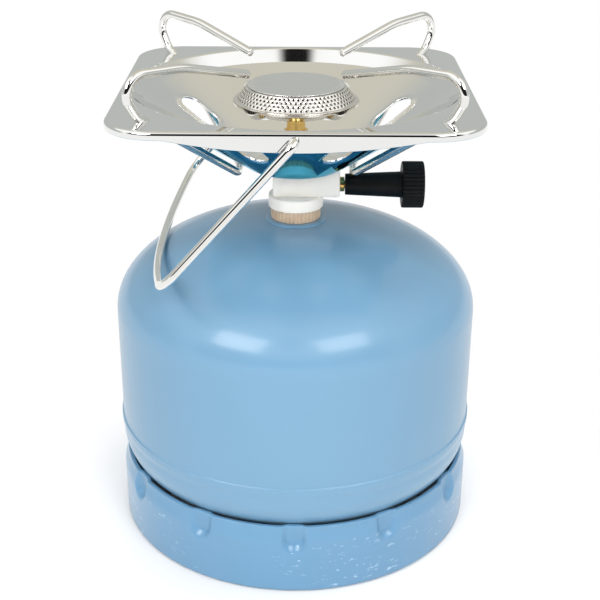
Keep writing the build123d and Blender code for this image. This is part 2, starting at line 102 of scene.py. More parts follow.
@dataclass
class Surface:
    """Quads over points."""

    points: Array
    faces: Array

    @classmethod
    def grid(cls, points: Array, close_rows: bool = False, close_columns: bool = False) -> "Surface":
        """Joins neighbouring points of a grid into quads.

        Args:
            points: Grid of points, rows by columns by 3.
            close_rows: Join the last row to the first.
            close_columns: Join the last column to the first.

        Returns:
            The grid as a surface.
        """
        rows, columns = points.shape[:2]
        row = np.arange(rows if close_rows else rows - 1)[:, None]
        column = np.arange(columns if close_columns else columns - 1)[None, :]
        next_row = (row + 1) % rows * columns
        next_column = (column + 1) % columns
        here = row * columns
        corners = [here + column, here + next_column, next_row + next_column, next_row + column]
        return cls(points.reshape(-1, 3), np.stack(corners, -1).reshape(-1, 4))

    @classmethod
    def joined(cls, parts: list["Surface"]) -> "Surface":
        """Puts several surfaces into one.

        Args:
            parts: Surfaces to join.

        Returns:
            One surface with the points and quads of all.
        """
        starts = np.cumsum([0] + [len(part.points) for part in parts[:-1]])
        faces = [part.faces + start for part, start in zip(parts, starts)]
        return cls(np.concatenate([part.points for part in parts]), np.concatenate(faces))

    def along_tap(self, level: float) -> "Surface":
        """The surface turned so that its Z axis lies along +X at a level."""
        x, y, z = self.points.T
        return Surface(np.stack([z, x, y + level], -1), self.faces)

    def about_z(self, degrees: float) -> "Surface":
        """The surface turned about Z by an angle in degrees."""
        return Surface(turned_about_z(self.points, math.radians(degrees)), self.faces)


def turned_about_z(points: Array, angle: float) -> Array:
    """Turns points about Z: each goes to (x cos a - y sin a, x sin a + y cos a, z).

    Args:
        points: Points, any shape by 3.
        angle: Angle in radians.

    Returns:
        The turned points.
    """
    x, y, z = np.moveaxis(points, -1, 0)
    c, s = math.cos(angle), math.sin(angle)
    return np.stack([c * x - s * y, s * x + c * y, z], -1)


def ring_points(radius: Array, angle: Array, height: Array | float) -> Array:
    """Points (r cos a, r sin a, z), with the three arrays broadcast to one shape."""
    radius, angle, height = np.broadcast_arrays(radius, angle, height)
    return np.stack([radius * np.cos(angle), radius * np.sin(angle), height], -1)


def strip_about_z(line: Array, angle: Array) -> Surface:
    """A section line of radii and heights turned about Z through a row of angles."""
    return Surface.grid(ring_points(line[:, :1], angle, line[:, 1:]), close_columns=True)


def unit(vectors: Array) -> Array:
    """Vectors scaled to length one along the last axis."""
    return vectors / np.maximum(np.linalg.norm(vectors, axis=-1, keepdims=True), NO_LENGTH)


def smooth_step(value: Array, low: float, high: float) -> Array:
    """Rises from 0 at low to 1 at high along 3t^2 - 2t^3, with t the share of the way."""
    t = np.clip((value - low) / (high - low), 0, 1)
    return t * t * (3 - 2 * t)


def arc(centre: Range, radius: float, start: float, end: float, steps: int) -> Array:
    """Points of a circle's arc between two angles in degrees, steps + 1 by 2."""
    angle = np.radians(np.linspace(start, end, steps + 1))
    return np.stack([centre[0] + radius * np.cos(angle), centre[1] + radius * np.sin(angle)], -1)


def without_repeats(points: Array) -> Array:
    """Drops each point that lies on the point before it."""
    step = np.linalg.norm(np.diff(points, axis=0, prepend=points[:1] + 1), axis=1)
    return points[step > SAME_POINT]


def filleted(
    points: list, radii: float | list, steps: int = 5, guard: float = 0.0, closed: bool = True
) -> Array:
    """Outline with each corner rounded by an arc that is tangent to both of its edges.

    The arc's centre is on the corner's bisector, at radius / sin(half the corner's angle). Its points turn
    from one tangent point to the other at an even rate. Guard points just outside each arc keep the
    shading of the straight edges flat.

    Args:
        points: Corners of the outline.
        radii: One radius, or one for each corner.
        steps: Intervals on each arc.
        guard: Distance of the guard points from the arc, or 0 for none.
        closed: Whether the outline closes; an open one keeps its two ends sharp.

    Returns:
        Points of the rounded outline, n by 2, or n by 3 for corners in space.
    """
    corner = np.asarray(points, float)
    radius = np.array(np.broadcast_to(radii, len(corner)), float)
    if not closed:
        radius[[0, -1]] = 0
    before = unit(np.roll(corner, 1, 0) - corner)
    after = unit(np.roll(corner, -1, 0) - corner)
    half = np.arccos(np.clip((before * after).sum(1), -1, 1)) / 2
    centre = corner + unit(before + after) * (radius / np.maximum(np.sin(half), TINY))[:, None]
    run = (radius / np.maximum(np.tan(half), TINY))[:, None]
    start = corner + before * run - centre
    end = corner + after * run - centre
    sweep = math.pi - 2 * half
    share = np.linspace(0, 1, steps + 1)[:, None]
    weight = np.maximum(np.sin(sweep), TINY)
    first = (np.sin((1 - share) * sweep) / weight).T[..., None]
    last = (np.sin(share * sweep) / weight).T[..., None]
    turn = centre[:, None] + first * start[:, None] + last * end[:, None]
    reach = np.where(radius > 0, guard, 0)[:, None]
    lead = (centre + start + before * reach)[:, None]
    trail = (centre + end + after * reach)[:, None]
    return without_repeats(np.concatenate([lead, turn, trail], 1).reshape(-1, corner.shape[1]))


def evenly(points: Array, step: float) -> Array:
    """Points at equal distances along a polyline.

    Args:
        points: Corners of the polyline.
        step: Wanted distance.

    Returns:
        The new points, the first and last of them the polyline's ends.
    """
    reach = np.concatenate([[0], np.cumsum(np.linalg.norm(np.diff(points, axis=0), axis=1))])
    along = np.linspace(0, reach[-1], max(round(reach[-1] / step), 1) + 1)
    return np.stack([np.interp(along, reach, column) for column in points.T], -1)


def angles(segments: int) -> Array:
    """Angles of a full turn as a column, the last one left out."""
    return np.linspace(0, TURN, segments, endpoint=False)[:, None]


def revolved(outline: Array, segments: int = 160, swell: Array | float = 0.0) -> Surface:
    """A closed outline of radii and heights turned about Z, each radius changed by its swell."""
    points = ring_points(outline[:, 0] + swell, angles(segments), outline[:, 1])
    return Surface.grid(points, close_rows=True, close_columns=True)


def grooves(outline: Array, segments: int, count: int, depth: float, from_radius: float) -> Array:
    """Change of radius of even grooves outside a radius: -depth cos(pi p)^6, p the phase between ribs."""
    phase = (angles(segments) * count / TURN) % 1 - 0.5
    return -depth * np.cos(math.pi * phase) ** 6 * (outline[:, 0] > from_radius)


def wire_along(path: Array, aside: Array, radius: float, sides: int = 20) -> Surface:
    """Round wire about a path.

    Around each path point lies a circle, point + radius * (cos a * across + sin a * (tangent x across)),
    where across is the given direction less its part along the path. At both ends the circles shrink along
    a quarter arc, so that the cut edge is rounded.

    Args:
        path: Points at even distances.
        aside: A direction across the path, one for all points or one for each.
        radius: Radius of the wire.
        sides: Points round the wire.

    Returns:
        The closed surface.
    """
    cut = WIRE_CUT_SHARE * radius
    tangent = unit(np.gradient(path, axis=0))
    aside = np.broadcast_to(aside, path.shape)
    across = unit(aside - tangent * (aside * tangent).sum(1)[:, None])
    turn = np.linspace(math.pi / 2, 0, 5)[:, None]
    inward = cut * (1 - np.sin(turn))
    rings = radius - cut + cut * np.cos(turn[:, 0])
    start = path[0] + tangent[0] * inward
    end = (path[-1] - tangent[-1] * inward)[::-1]
    centre = np.concatenate([path[:1], start, path[1:-1], end, path[-1:]])
    size = np.concatenate([[0], rings, np.full(len(path) - 2, radius), rings[::-1], [0]])
    ends = len(turn) + 1
    repeats = np.concatenate([[ends], np.ones(len(path) - 2, int), [ends]])
    heading, across = np.repeat(tangent, repeats, 0), np.repeat(across, repeats, 0)
    around = angles(sides)[None]
    spread = np.cos(around) * across[:, None] + np.sin(around) * np.cross(heading, across)[:, None]
    return Surface.grid(centre[:, None] + size[:, None, None] * spread, close_columns=True)


class Graph:
    """A shader node tree with short calls for its nodes and links."""

    def __init__(self, tree: bpy.types.NodeTree) -> None:
        """Takes over a node tree and clears it."""
        self.tree = tree
        tree.nodes.clear()

    def add(self, kind: str, inputs: dict | None = None, **settings: object) -> bpy.types.Node:
        """Adds a node.

        Args:
            kind: Blender's name of the node type.
            inputs: Values or source sockets by input name or number.
            **settings: Attributes of the node.

        Returns:
            The new node.
        """
        node = self.tree.nodes.new(kind)
        for name, value in settings.items():
            setattr(node, name, value)
        for name, value in (inputs or {}).items():
            if isinstance(value, Socket):
                self.tree.links.new(value, node.inputs[name])
            else:
                node.inputs[name].default_value = value
        return node

    def mixed(self, share: Socket, first: object, second: object) -> Socket:
        """Socket of a mix of two colours or sockets, by the share of the second."""
        inputs = {MIX_SHARE: share, MIX_FIRST: first, MIX_SECOND: second}
        return self.add("ShaderNodeMix", inputs, data_type="RGBA").outputs[MIX_RESULT]

    def ramped(self, value: Socket, low: float, high: float, to: Range = (0, 1)) -> Socket:
        """Socket of a value whose range from low to high is mapped smoothly onto another."""
        inputs = {"Value": value, "From Min": low, "From Max": high, "To Min": to[0], "To Max": to[1]}
        return self.add("ShaderNodeMapRange", inputs, interpolation_type="SMOOTHSTEP").outputs["Result"]

    def maths(self, operation: str, first: object, second: object) -> Socket:
        """Socket of a sum, product or like operation on two values or sockets."""
        return self.add("ShaderNodeMath", {0: first, 1: second}, operation=operation).outputs[0]

    def noise(self, place: Socket, scale: object, detail: float = 2.0, roughness: float = 0.5) -> Socket:
        """Socket of a noise from 0 to 1 over a place."""
        inputs = {"Vector": place, "Scale": scale, "Detail": detail, "Roughness": roughness}
        return self.add("ShaderNodeTexNoise", inputs).outputs["Fac"]

    def vectors(self, operation: str, first: Socket, second: Triple = (0.0, 0.0, 0.0)) -> bpy.types.Node:
        """Node of an operation on two vectors."""
        return self.add("ShaderNodeVectorMath", {0: first, 1: second}, operation=operation)


def new_group(name: str, inputs: dict[str, str], outputs: list[str]) -> bpy.types.NodeTree:
    """Makes an empty shader node group with named sockets.

    Args:
        name: Name of the group.
        inputs: Kinds of value, Vector or Float, by input name.
        outputs: Names of the value outputs.

    Returns:
        The group's node tree.
    """
    tree = bpy.data.node_groups.new(name, "ShaderNodeTree")
    for label, kind in inputs.items():
        tree.interface.new_socket(label, in_out="INPUT", socket_type=f"NodeSocket{kind}")
    for label in outputs:
        tree.interface.new_socket(label, in_out="OUTPUT", socket_type="NodeSocketFloat")
    return tree


@cache
def surface_grain() -> bpy.types.NodeTree:
    """Group that gives a finish its broad unevenness and its fine grain, each from 0 to 1.

    Returns:
        The group: two noises at scales of their own, the broad one ramped.
    """
    sockets = {"Place": "Vector", "Broad": "Float", "Fine": "Float"}
    graph = Graph(new_group("surface_grain", sockets, ["Patches", "Grain"]))
    given = graph.add("NodeGroupInput").outputs
    broad = graph.noise(given["Place"], given["Broad"], detail=3.0)
    fine = graph.noise(given["Place"], given["Fine"])
    graph.add("NodeGroupOutput", {"Patches": graph.ramped(broad, *PATCH_EDGE), "Grain": fine})
    return graph.tree


@cache
def knocks() -> bpy.types.NodeTree:
    """Group that gives a mask of small flecks and short scratches, thicker where its reach is larger.

    Returns:
        The group: a fine noise, squeezed in height and cut sharply, times a patchy one and the reach.
    """
    graph = Graph(new_group("knocks", {"Place": "Vector", "Reach": "Float"}, ["Mask"]))
    given = graph.add("NodeGroupInput").outputs
    squeezed = graph.add("ShaderNodeMapping", {"Vector": given["Place"], "Scale": FLECK_SQUEEZE})
    fleck = graph.noise(squeezed.outputs[0], FLECK_SCALE, FLECK_DETAIL, FLECK_ROUGHNESS)
    sharp = graph.ramped(fleck, *FLECK_EDGE)
    patchy = graph.ramped(graph.noise(given["Place"], KNOCK_SCALE), *KNOCK_EDGE)
    mask = graph.maths("MULTIPLY", graph.maths("MULTIPLY", sharp, patchy), given["Reach"])
    graph.add("NodeGroupOutput", {"Mask": mask})
    return graph.tree


@dataclass(frozen=True)
class Finish:
    """A surface finish and the material that shows it."""

    name: str
    slot: str
    colour: Triple
    shade: Triple
    roughness: Range
    metallic: float = 0.0
    coat: float = 0.0
    broad: float = 30.0
    fine: float = 900.0
    bump: float = 0.05
    bump_depth: float = 0.00005
    specular: float = 0.5
    knock_colour: Triple | None = None
    knock_foot: float = 0.0
    knock_top: float = 0.0
    edge_tint: Triple = (1.0, 1.0, 1.0)

    @cache
    def material(self) -> bpy.types.Material:
        """The finish's material, made at its first use.

        Returns:
            The material: patches mix its two colours and set its roughness, and grain drives its bump.
        """
        material = bpy.data.materials.new(self.name)
        material.use_nodes = True
        graph = Graph(material.node_tree)
        place = graph.add("ShaderNodeTexCoord").outputs["Object"]
        inputs = {"Place": place, "Broad": self.broad, "Fine": self.fine}
        grain = graph.add("ShaderNodeGroup", inputs, node_tree=surface_grain()).outputs
        base = graph.mixed(grain["Patches"], (*self.colour, 1), (*self.shade, 1))
        if self.knock_colour:
            base = self.knocked(graph, place, base)
        bump = {"Height": grain["Grain"], "Strength": self.bump, "Distance": self.bump_depth}
        shader = {
            "Base Color": base,
            "Roughness": graph.ramped(grain["Patches"], 0, 1, self.roughness),
            "Normal": graph.add("ShaderNodeBump", bump).outputs["Normal"],
            "Metallic": self.metallic,
            "Coat Weight": self.coat,
            "Coat Roughness": COAT_ROUGHNESS,
            "Specular IOR Level": self.specular,
            "Specular Tint": (*self.edge_tint, 1)}
        principled = graph.add("ShaderNodeBsdfPrincipled", shader)
        graph.add("ShaderNodeOutputMaterial", {"Surface": principled.outputs[0]})
        return material

    def knocked(self, graph: Graph, place: Socket, base: Socket) -> Socket:
        """Adds flecks of worn paint that fade out between two heights.

        Args:
            graph: Node tree of the material.
            place: Socket of the object coordinates.
            base: Socket of the colour so far.

        Returns:
            The colour's new socket.
        """
        height = graph.add("ShaderNodeSeparateXYZ", {0: place}).outputs["Z"]
        reach = graph.ramped(height, self.knock_foot * MM, self.knock_top * MM, (1, 0))
        mask = graph.add("ShaderNodeGroup", {"Place": place, "Reach": reach}, node_tree=knocks())
        return graph.mixed(mask.outputs["Mask"], base, (*self.knock_colour, 1))


SHELL_PAINT = Finish(
    "shell_paint", "blue_paint", (0.135, 0.272, 0.404), (0.14, 0.277, 0.408), (0.275, 0.295),
    coat=0.3, broad=9.0, fine=420.0, bump=0.06, bump_depth=0.0002)
RING_PAINT = Finish(
    "ring_paint", "blue_paint", (0.106, 0.252, 0.405), (0.109, 0.249, 0.4), (0.30, 0.36),
    coat=0.5, broad=14.0, fine=420.0, bump=0.08, bump_depth=0.0002,
    knock_colour=(0.36, 0.50, 0.63), knock_foot=28.05, knock_top=33.0)
CHROME = Finish(
    "tray_chrome", "bright_chrome", (0.86, 0.86, 0.85), (0.84, 0.84, 0.83), (0.035, 0.055),
    metallic=1.0, broad=18.0, fine=60.0, bump=0.03, bump_depth=0.0002)
# Chrome of the tray's downward faces, tinted deep teal at base and edge: a painted reflection of the blue
# cylinder beneath the tray.
PAINTED_REFLECTION_CHROME = Finish(
    "painted_reflection_chrome", "bright_chrome", (0.16, 0.42, 0.56), (0.175, 0.435, 0.575), (0.05, 0.08),
    metallic=1.0, broad=18.0, fine=60.0, bump=0.03, bump_depth=0.0002, edge_tint=(0.33, 0.66, 0.80))
WIRE_CHROME = Finish(
    "wire_chrome", "bright_chrome", (0.88, 0.87, 0.85), (0.84, 0.83, 0.80), (0.06, 0.12),
    metallic=1.0, broad=60.0, fine=500.0, bump=0.05)
BURNER_STEEL = Finish(
    "band_steel", "burner_steel", (0.84, 0.81, 0.77), (0.78, 0.75, 0.71), (0.12, 0.2),
    metallic=1.0, broad=90.0, fine=900.0, bump=0.05)
CAP_STEEL = Finish(
    "cap_steel", "burner_steel", (0.80, 0.80, 0.79), (0.75, 0.75, 0.74), (0.32, 0.4),
    metallic=1.0, broad=40.0, fine=1400.0, bump=0.06)
BRASS = Finish(
    "bright_brass", "brass", (0.86, 0.60, 0.22), (0.80, 0.53, 0.17), (0.16, 0.26),
    metallic=1.0, broad=120.0, fine=900.0)
DULL_BRASS = Finish(
    "dull_brass", "brass", (0.76, 0.58, 0.41), (0.68, 0.505, 0.355), (0.38, 0.5),
    metallic=0.3, broad=160.0, fine=1100.0, bump=0.12)
PALE_NICKEL = Finish(
    "satin_nickel", "pale_nickel", (0.97, 0.93, 0.86), (0.94, 0.90, 0.83), (0.30, 0.4),
    metallic=0.1, broad=70.0, fine=1300.0, bump=0.1)
BLACK_PLASTIC = Finish(
    "knob_plastic", "black_plastic", (0.003, 0.0035, 0.0035), (0.005, 0.0055, 0.0055), (0.42, 0.52),
    broad=80.0, fine=2200.0, bump=0.2, specular=0.2)
PLAIN_STEEL = Finish(
    "zinc_steel", "plain_steel", (0.55, 0.55, 0.55), (0.48, 0.48, 0.47), (0.25, 0.4),
    metallic=1.0, broad=120.0, fine=1500.0, bump=0.1)
SEAL_RUBBER = Finish(
    "nitrile_rubber", "seal_rubber", (0.02, 0.02, 0.02), (0.028, 0.028, 0.028), (0.6, 0.75),
    broad=120.0, fine=1500.0, bump=0.2)


def add_piece(
    name: str, surface: Surface, finish: Finish, body: Body, stands_for: list[str], crease: float = 40.0,
    below: Finish | None = None
) -> None:
    """Makes a dressed object of a surface and hangs it on its body.

    Args:
        name: Name of the piece.
        surface: Its closed surface.
        finish: Its finish.
        body: Body that it rides on.
        stands_for: CAD nodes that it replaces.
        crease: Edges that turn by more than this angle, in degrees, stay sharp.
        below: Finish of the faces that look down, where it differs.
    """
    mesh = bpy.data.meshes.new(name)
    mesh.from_pydata((surface.points * MM).tolist(), [], surface.faces.tolist())
    work = bmesh.new()
    work.from_mesh(mesh)
    bmesh.ops.remove_doubles(work, verts=work.verts, dist=MERGE_DISTANCE)
    bmesh.ops.recalc_face_normals(work, faces=work.faces)
    work.to_mesh(mesh)
    work.free()
    mesh.shade_smooth()
    mesh.set_sharp_from_angle(angle=math.radians(crease))
    mesh.materials.append(finish.material())
    # Faces that look down get a second finish; on the tray it is the teal-tinted chrome, a painted
    # reflection of the blue cylinder.
    if below:
        mesh.materials.append(below.material())
        normal = np.empty(3 * len(mesh.polygons), np.float32)
        mesh.polygons.foreach_get("normal", normal)
        mesh.polygons.foreach_set("material_index", (normal[2::3] < LOOKS_DOWN).astype(np.int32))
    piece = bpy.data.objects.new(name, mesh)
    bpy.context.scene.collection.objects.link(piece)
    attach(piece, body.value)
    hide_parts(*stands_for)
    log.info("%s: %d faces on %s", name, len(mesh.polygons), body.value)


def reach_of(node: str) -> tuple[Array, Array]:
    """Lowest and highest corners of a CAD node in millimetres."""
    low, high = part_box(node)
    return np.array(low) / MM, np.array(high) / MM


@dataclass
class GasCylinder:
    """Painted shells, weld bead, foot ring and neck boss of the cylinder."""

    radius: float = 101.0
    wall: float = 2.0
    seam_z: float = 61.5
    dome_z: float = 128.0
    dome_rise: float = 50.0
    skirt: float = 5.5
    drop: float = 44.0
    knuckle: float = 26.0
    weld_width: float = 9.0
    weld_foot: float = 0.03
    weld_root: float = 0.3
    weld_spare: float = 0.02
    weld_crest: float = 0.1
    weld_shoulder: float = 0.62
    weld_top: float = 0.8
    weld_steps: int = 60
    weld_ripples: int = 260
    ripple: float = 0.05
    boss_gap: float = 0.05
    boss_round: float = 1.2
    boss_bore_in: float = 4.25
    ring_wall: float = 2.5
    ring_flange: float = 7.5
    ring_bend: float = 2.0
    ring_round: float = 0.7
    ring_leg: float = 6.0
    ring_rim_leg: float = 3.0
    ring_foot_rounds: tuple[float, ...] = (1.0, 0.6, 0.6)
    ring_steps: int = 30
    ring_touch: float = 0.1
    ring_lean: float = 2.1
    ring_lean_height: float = 10.0
    dimples: int = 12
    dimple_reach: float = 7.4
    dimple_edge: float = 3.8
    dimple_height: float = 15.0
    dimple_steps: int = 64
    segments: int = 192

    def build(self) -> None:
        """Makes all pieces of the cylinder."""
        top, bottom = (revolved(line, self.segments) for line in (self.top_outline(), self.bottom_outline()))
        for name, surface, finish, node in (
            ("cylinder_top", top, SHELL_PAINT, "cylinder_upper_shell"),
            ("cylinder_bottom", bottom, SHELL_PAINT, "cylinder_lower_shell"),
            ("weld_bead", self.weld_surface(), SHELL_PAINT, "girth_weld"),
            ("standing_ring", self.ring_surface(), RING_PAINT, "foot_ring"),
            ("neck_ring", revolved(self.boss_outline()), SHELL_PAINT, "neck_boss"),
        ):
            add_piece(name, surface, finish, Body.CYLINDER, [node])

    def dome(self, inset: float, steps: int = 48) -> Array:
        """Quarter ellipse of the dome from the wall up to the neck.

        Args:
            inset: Distance inside the outer face.
            steps: Number of intervals.

        Returns:
            Radius and height of its points.
        """
        neck = reach_of("neck_boss")[1][0] + self.boss_gap
        wide, rise = self.radius - inset, self.dome_rise - inset
        turn = np.linspace(0, math.acos(neck / wide), steps + 1)
        return np.stack([wide * np.cos(turn), self.dome_z + rise * np.sin(turn)], -1)

    def top_outline(self) -> Array:
        """Outline of the upper shell.

        Returns:
            Radius and height of its points: the dome outside, back down inside, and the wall.
        """
        inner, shoulder = self.radius - self.wall, self.dome_z - 1
        wall = [[inner, shoulder], [inner, self.seam_z], [self.radius, self.seam_z], [self.radius, shoulder]]
        return np.concatenate([self.dome(0), self.dome(self.wall)[::-1], wall])

    def dish(self, inset: float, steps: int = 24) -> Array:
        """Knuckle and dish of the bottom end, both arcs, from the skirt to the axis.

        The dish's radius makes it tangent to the knuckle.

        Args:
            inset: Distance inside the outer face.
            steps: Number of intervals on each arc.

        Returns:
            Radius and height of its points.
        """
        top = self.seam_z - self.skirt
        middle = self.radius - self.knuckle
        bowl = (middle**2 + self.drop**2 - self.knuckle**2) / (2 * (self.drop - self.knuckle))
        meet = math.degrees(math.atan2(bowl - self.drop, middle))
        knuckle = arc((middle, top), self.knuckle - inset, 0, -meet, steps)
        bottom = arc((0, top - self.drop + bowl), bowl - inset, -meet, -90, steps)
        return np.concatenate([knuckle, bottom[1:]])

    def bottom_outline(self) -> Array:
        """Outline of the lower shell: knuckle and dish outside, then back inside to the skirt."""
        skirt = [[self.radius - self.wall, self.seam_z], [self.radius, self.seam_z]]
        return np.concatenate([self.dish(0), self.dish(self.wall)[::-1], skirt])

    def weld_surface(self) -> Surface:
        """Weld bead on the seam.

        Its section has a short upper shoulder and a long lower slope, both smooth steps. Ripples are a sine
        round the bead, largest on its crest.

        Returns:
            The closed surface.
        """
        outermost = reach_of("girth_weld")[1][0]
        proud = outermost - self.ripple - self.radius - self.weld_foot - self.weld_spare
        share = np.linspace(-1, 1, self.weld_steps + 1)
        height = self.seam_z + share * self.weld_width / 2
        slope = smooth_step(share, -1, self.weld_crest)
        crest = slope * smooth_step(-share, -self.weld_top, -self.weld_shoulder)
        root = self.radius - self.weld_root
        face = np.stack([self.radius + (proud * crest + self.weld_foot), height], -1)
        outline = np.concatenate([face, [[root, height[-1]], [root, height[0]]]])
        segments = self.weld_ripples * 2
        wave = self.ripple * np.sin(angles(segments) * self.weld_ripples / 2)
        return revolved(outline, segments, wave * np.concatenate([crest, [0, 0]]))

    def ring_surface(self) -> Surface:
        """Foot ring: a rolled band, leant in at the top, whose upper edge touches the bottom end at dimples.

        A dimple presses the band in by its depth, less the lean, times a smooth step of the way in from the
        dimple's border. That way is measured along the band from the dimple's middle line, and below that
        line's lower end from the end.

        Returns:
            The closed surface.
        """
        radius, _, top = reach_of("foot_ring")[1]
        inner = radius - self.ring_wall
        foot = radius - self.ring_flange
        rise = np.linspace(self.ring_bend + 0.3, top - self.ring_round - 0.2, self.ring_steps)[:, None]
        outside = np.concatenate([np.full_like(rise, radius), rise], -1)
        inside = np.concatenate([np.full_like(rise, inner), rise[::-1]], -1)
        leg, rim_leg = self.ring_leg, top - self.ring_rim_leg
        rim = [[radius, rim_leg], [radius, top], [inner, top], [inner, rim_leg]]
        edge = filleted(rim, self.ring_round, closed=False)[1:-1]
        flange = [
            [inner, leg], [inner, self.ring_wall], [foot, self.ring_wall], [foot, 0], [radius, 0],
            [radius, leg]]
        rounds = [0, *self.ring_foot_rounds, self.ring_bend, 0]
        base = filleted(flange, rounds, guard=0.3, closed=False)[1:-1]
        outline = np.concatenate([outside, edge, inside[inside[:, 1] > base[0, 1]], base])
        lean = self.ring_lean * smooth_step(outline[:, 1], top - self.ring_lean_height, top)
        outline[:, 0] -= lean
        touch = self.dish(0)
        depth = inner - np.interp(-top, -touch[:, 1], touch[:, 0]) - self.ring_touch
        segments = self.dimples * self.dimple_steps
        pitch = TURN / self.dimples
        aside = ((angles(segments) + pitch / 2) % pitch - pitch / 2) * radius
        line_end = top - self.dimple_height + self.dimple_reach
        away = np.hypot(aside, np.maximum(line_end - outline[:, 1], 0))
        pressed = (depth - lean) * smooth_step(self.dimple_reach - away, 0, self.dimple_edge)
        return revolved(outline, segments, -pressed)

    def boss_outline(self) -> Array:
        """Outline of the ring that is welded into the crown.

        Returns:
            Radius and height of its points.
        """
        low, high = reach_of("neck_boss")
        bore = reach_of("bottle_valve_body")[1][0] - self.boss_bore_in
        corners = [[bore, low[2]], [high[0], low[2]], [high[0], high[2]], [bore, high[2]]]
        return filleted(corners, [0.2, 0.2, self.boss_round, 0.2], guard=0.1)


@dataclass
class BottleValve:
    """Fluted brass valve in the neck of the cylinder."""

    shank: float = 9.5
    head_height: float = 6.4
    socket: float = 8.1
    socket_depth: float = 13.0
    web: float = 3.5
    port: float = 2.2
    chamber: float = 5.0
    flutes: int = 36
    flute_depth: float = 0.5
    flute_skin: float = 0.6
    flute_steps: int = 12

    def build(self) -> None:
        """Makes the valve's body."""
        low, high = reach_of("bottle_valve_body")
        head, _, top = high
        base = top - self.head_height
        web_top = top - self.socket_depth
        web_low = web_top - self.web
        corners = [
            [self.socket, top], [head, top], [head, base], [self.shank, base], [self.shank, low[2]],
            [self.chamber, low[2]], [self.chamber, web_low], [self.port, web_low], [self.port, web_top],
            [self.socket, web_top]]
        outline = filleted(corners, [0.4, 0.5, 0.4] + [0.2] * 7, guard=0.15)
        segments = self.flutes * self.flute_steps
        swell = grooves(outline, segments, self.flutes, self.flute_depth, head - self.flute_skin)
        surface = revolved(outline, segments, swell)
        add_piece("valve_head", surface, DULL_BRASS, Body.CYLINDER, ["bottle_valve_body"])


@dataclass
class TapBlock:
    """Pale collar and block of the stove, with the brass gland."""

    stub: float = 8.02
    stub_gap: float = 0.05
    stub_up: float = 193.0
    inlet: float = 2.0
    stub_round: float = 0.3
    plan_round: float = 1.2
    plan_round_share: float = 0.9
    edge_round: float = 0.7
    collar_round: float = 1.0
    gland_bore: float = 2.05
    gland_body: float = 3.45
    gland_flange_depth: float = 2.6

    def build(self) -> None:
        """Makes the collar, the block and the gland."""
        for name, surface, finish, node in (
            ("inlet_collar", self.collar_surface(), PALE_NICKEL, "coupling_collar"),
            ("tap_block", self.block_surface(), PALE_NICKEL, "tap_body"),
            ("gland", self.gland_surface(), BRASS, "gland_nut"),
        ):
            add_piece(name, surface, finish, Body.STOVE, [node])

    def collar_surface(self) -> Surface:
        """Collar round the stub, turned about Z from a rounded section.

        Returns:
            The closed surface.
        """
        low, high = reach_of("coupling_collar")
        bore = self.stub + self.stub_gap
        ring = [[bore, low[2]], [high[0], low[2]], [high[0], high[2]], [bore, high[2]]]
        return revolved(filleted(ring, [0.2, 0.5, self.collar_round, 0.2], guard=0.2))

    def block_surface(self) -> Surface:
        """Block with rounded edges, lofted from its plan outline, and the stub below it.

        Each loop of the loft is the plan outline inset by r (1 - sin a) at a height r (1 - cos a) inside the
        end face, for a quarter turn at both ends. The first and last loops shrink to the middle.

        Returns:
            Both closed surfaces as one.
        """
        low, high = reach_of("tap_body")
        base, top = reach_of("coupling_collar")[1][2], high[2]
        middle = (low + high)[:2] / 2
        half = (high - low)[:2] / 2
        turn = np.linspace(0, math.pi / 2, 6)
        inset = self.edge_round * (1 - np.sin(turn))
        level = self.edge_round * (1 - np.cos(turn))
        insets = np.concatenate([inset, inset[::-1]])
        levels = np.concatenate([base + level, top - level[::-1]])
        rounds = self.plan_round - np.minimum(insets, self.plan_round * self.plan_round_share)
        signs = np.array([[1, 1], [-1, 1], [-1, -1], [1, -1]])
        loops = [filleted(signs * (half - step), r, guard=0.1) for step, r in zip(insets, rounds)]
        flat = np.stack(loops) + middle
        points = np.concatenate([flat, np.broadcast_to(levels[:, None, None], (*flat.shape[:2], 1))], -1)
        caps = np.broadcast_to([[[*middle, base]], [[*middle, top]]], (2, points.shape[1], 3))
        block = Surface.grid(np.concatenate([caps[:1], points, caps[1:]]), close_columns=True)
        foot = low[2]
        stub = [[self.inlet, foot], [self.stub, foot], [self.stub, self.stub_up], [self.inlet, self.stub_up]]
        return Surface.joined([block, revolved(filleted(stub, self.stub_round))])

    def gland_surface(self) -> Surface:
        """Round gland nut that the spindle turns in, turned about the tap's axis.

        Returns:
            The closed surface.
        """
        low, high = reach_of("gland_nut")
        level = (low[2] + high[2]) / 2
        start, end, head = low[0], high[0], high[2] - level
        face = end - self.gland_flange_depth
        corners = [
            [self.gland_bore, start], [self.gland_body, start], [self.gland_body, face], [head, face],
            [head, end], [self.gland_bore, end]]
        return revolved(filleted(corners, [0.1, 0.2, 0.1, 0.3, 0.5, 0.1], guard=0.1), 96).along_tap(level)


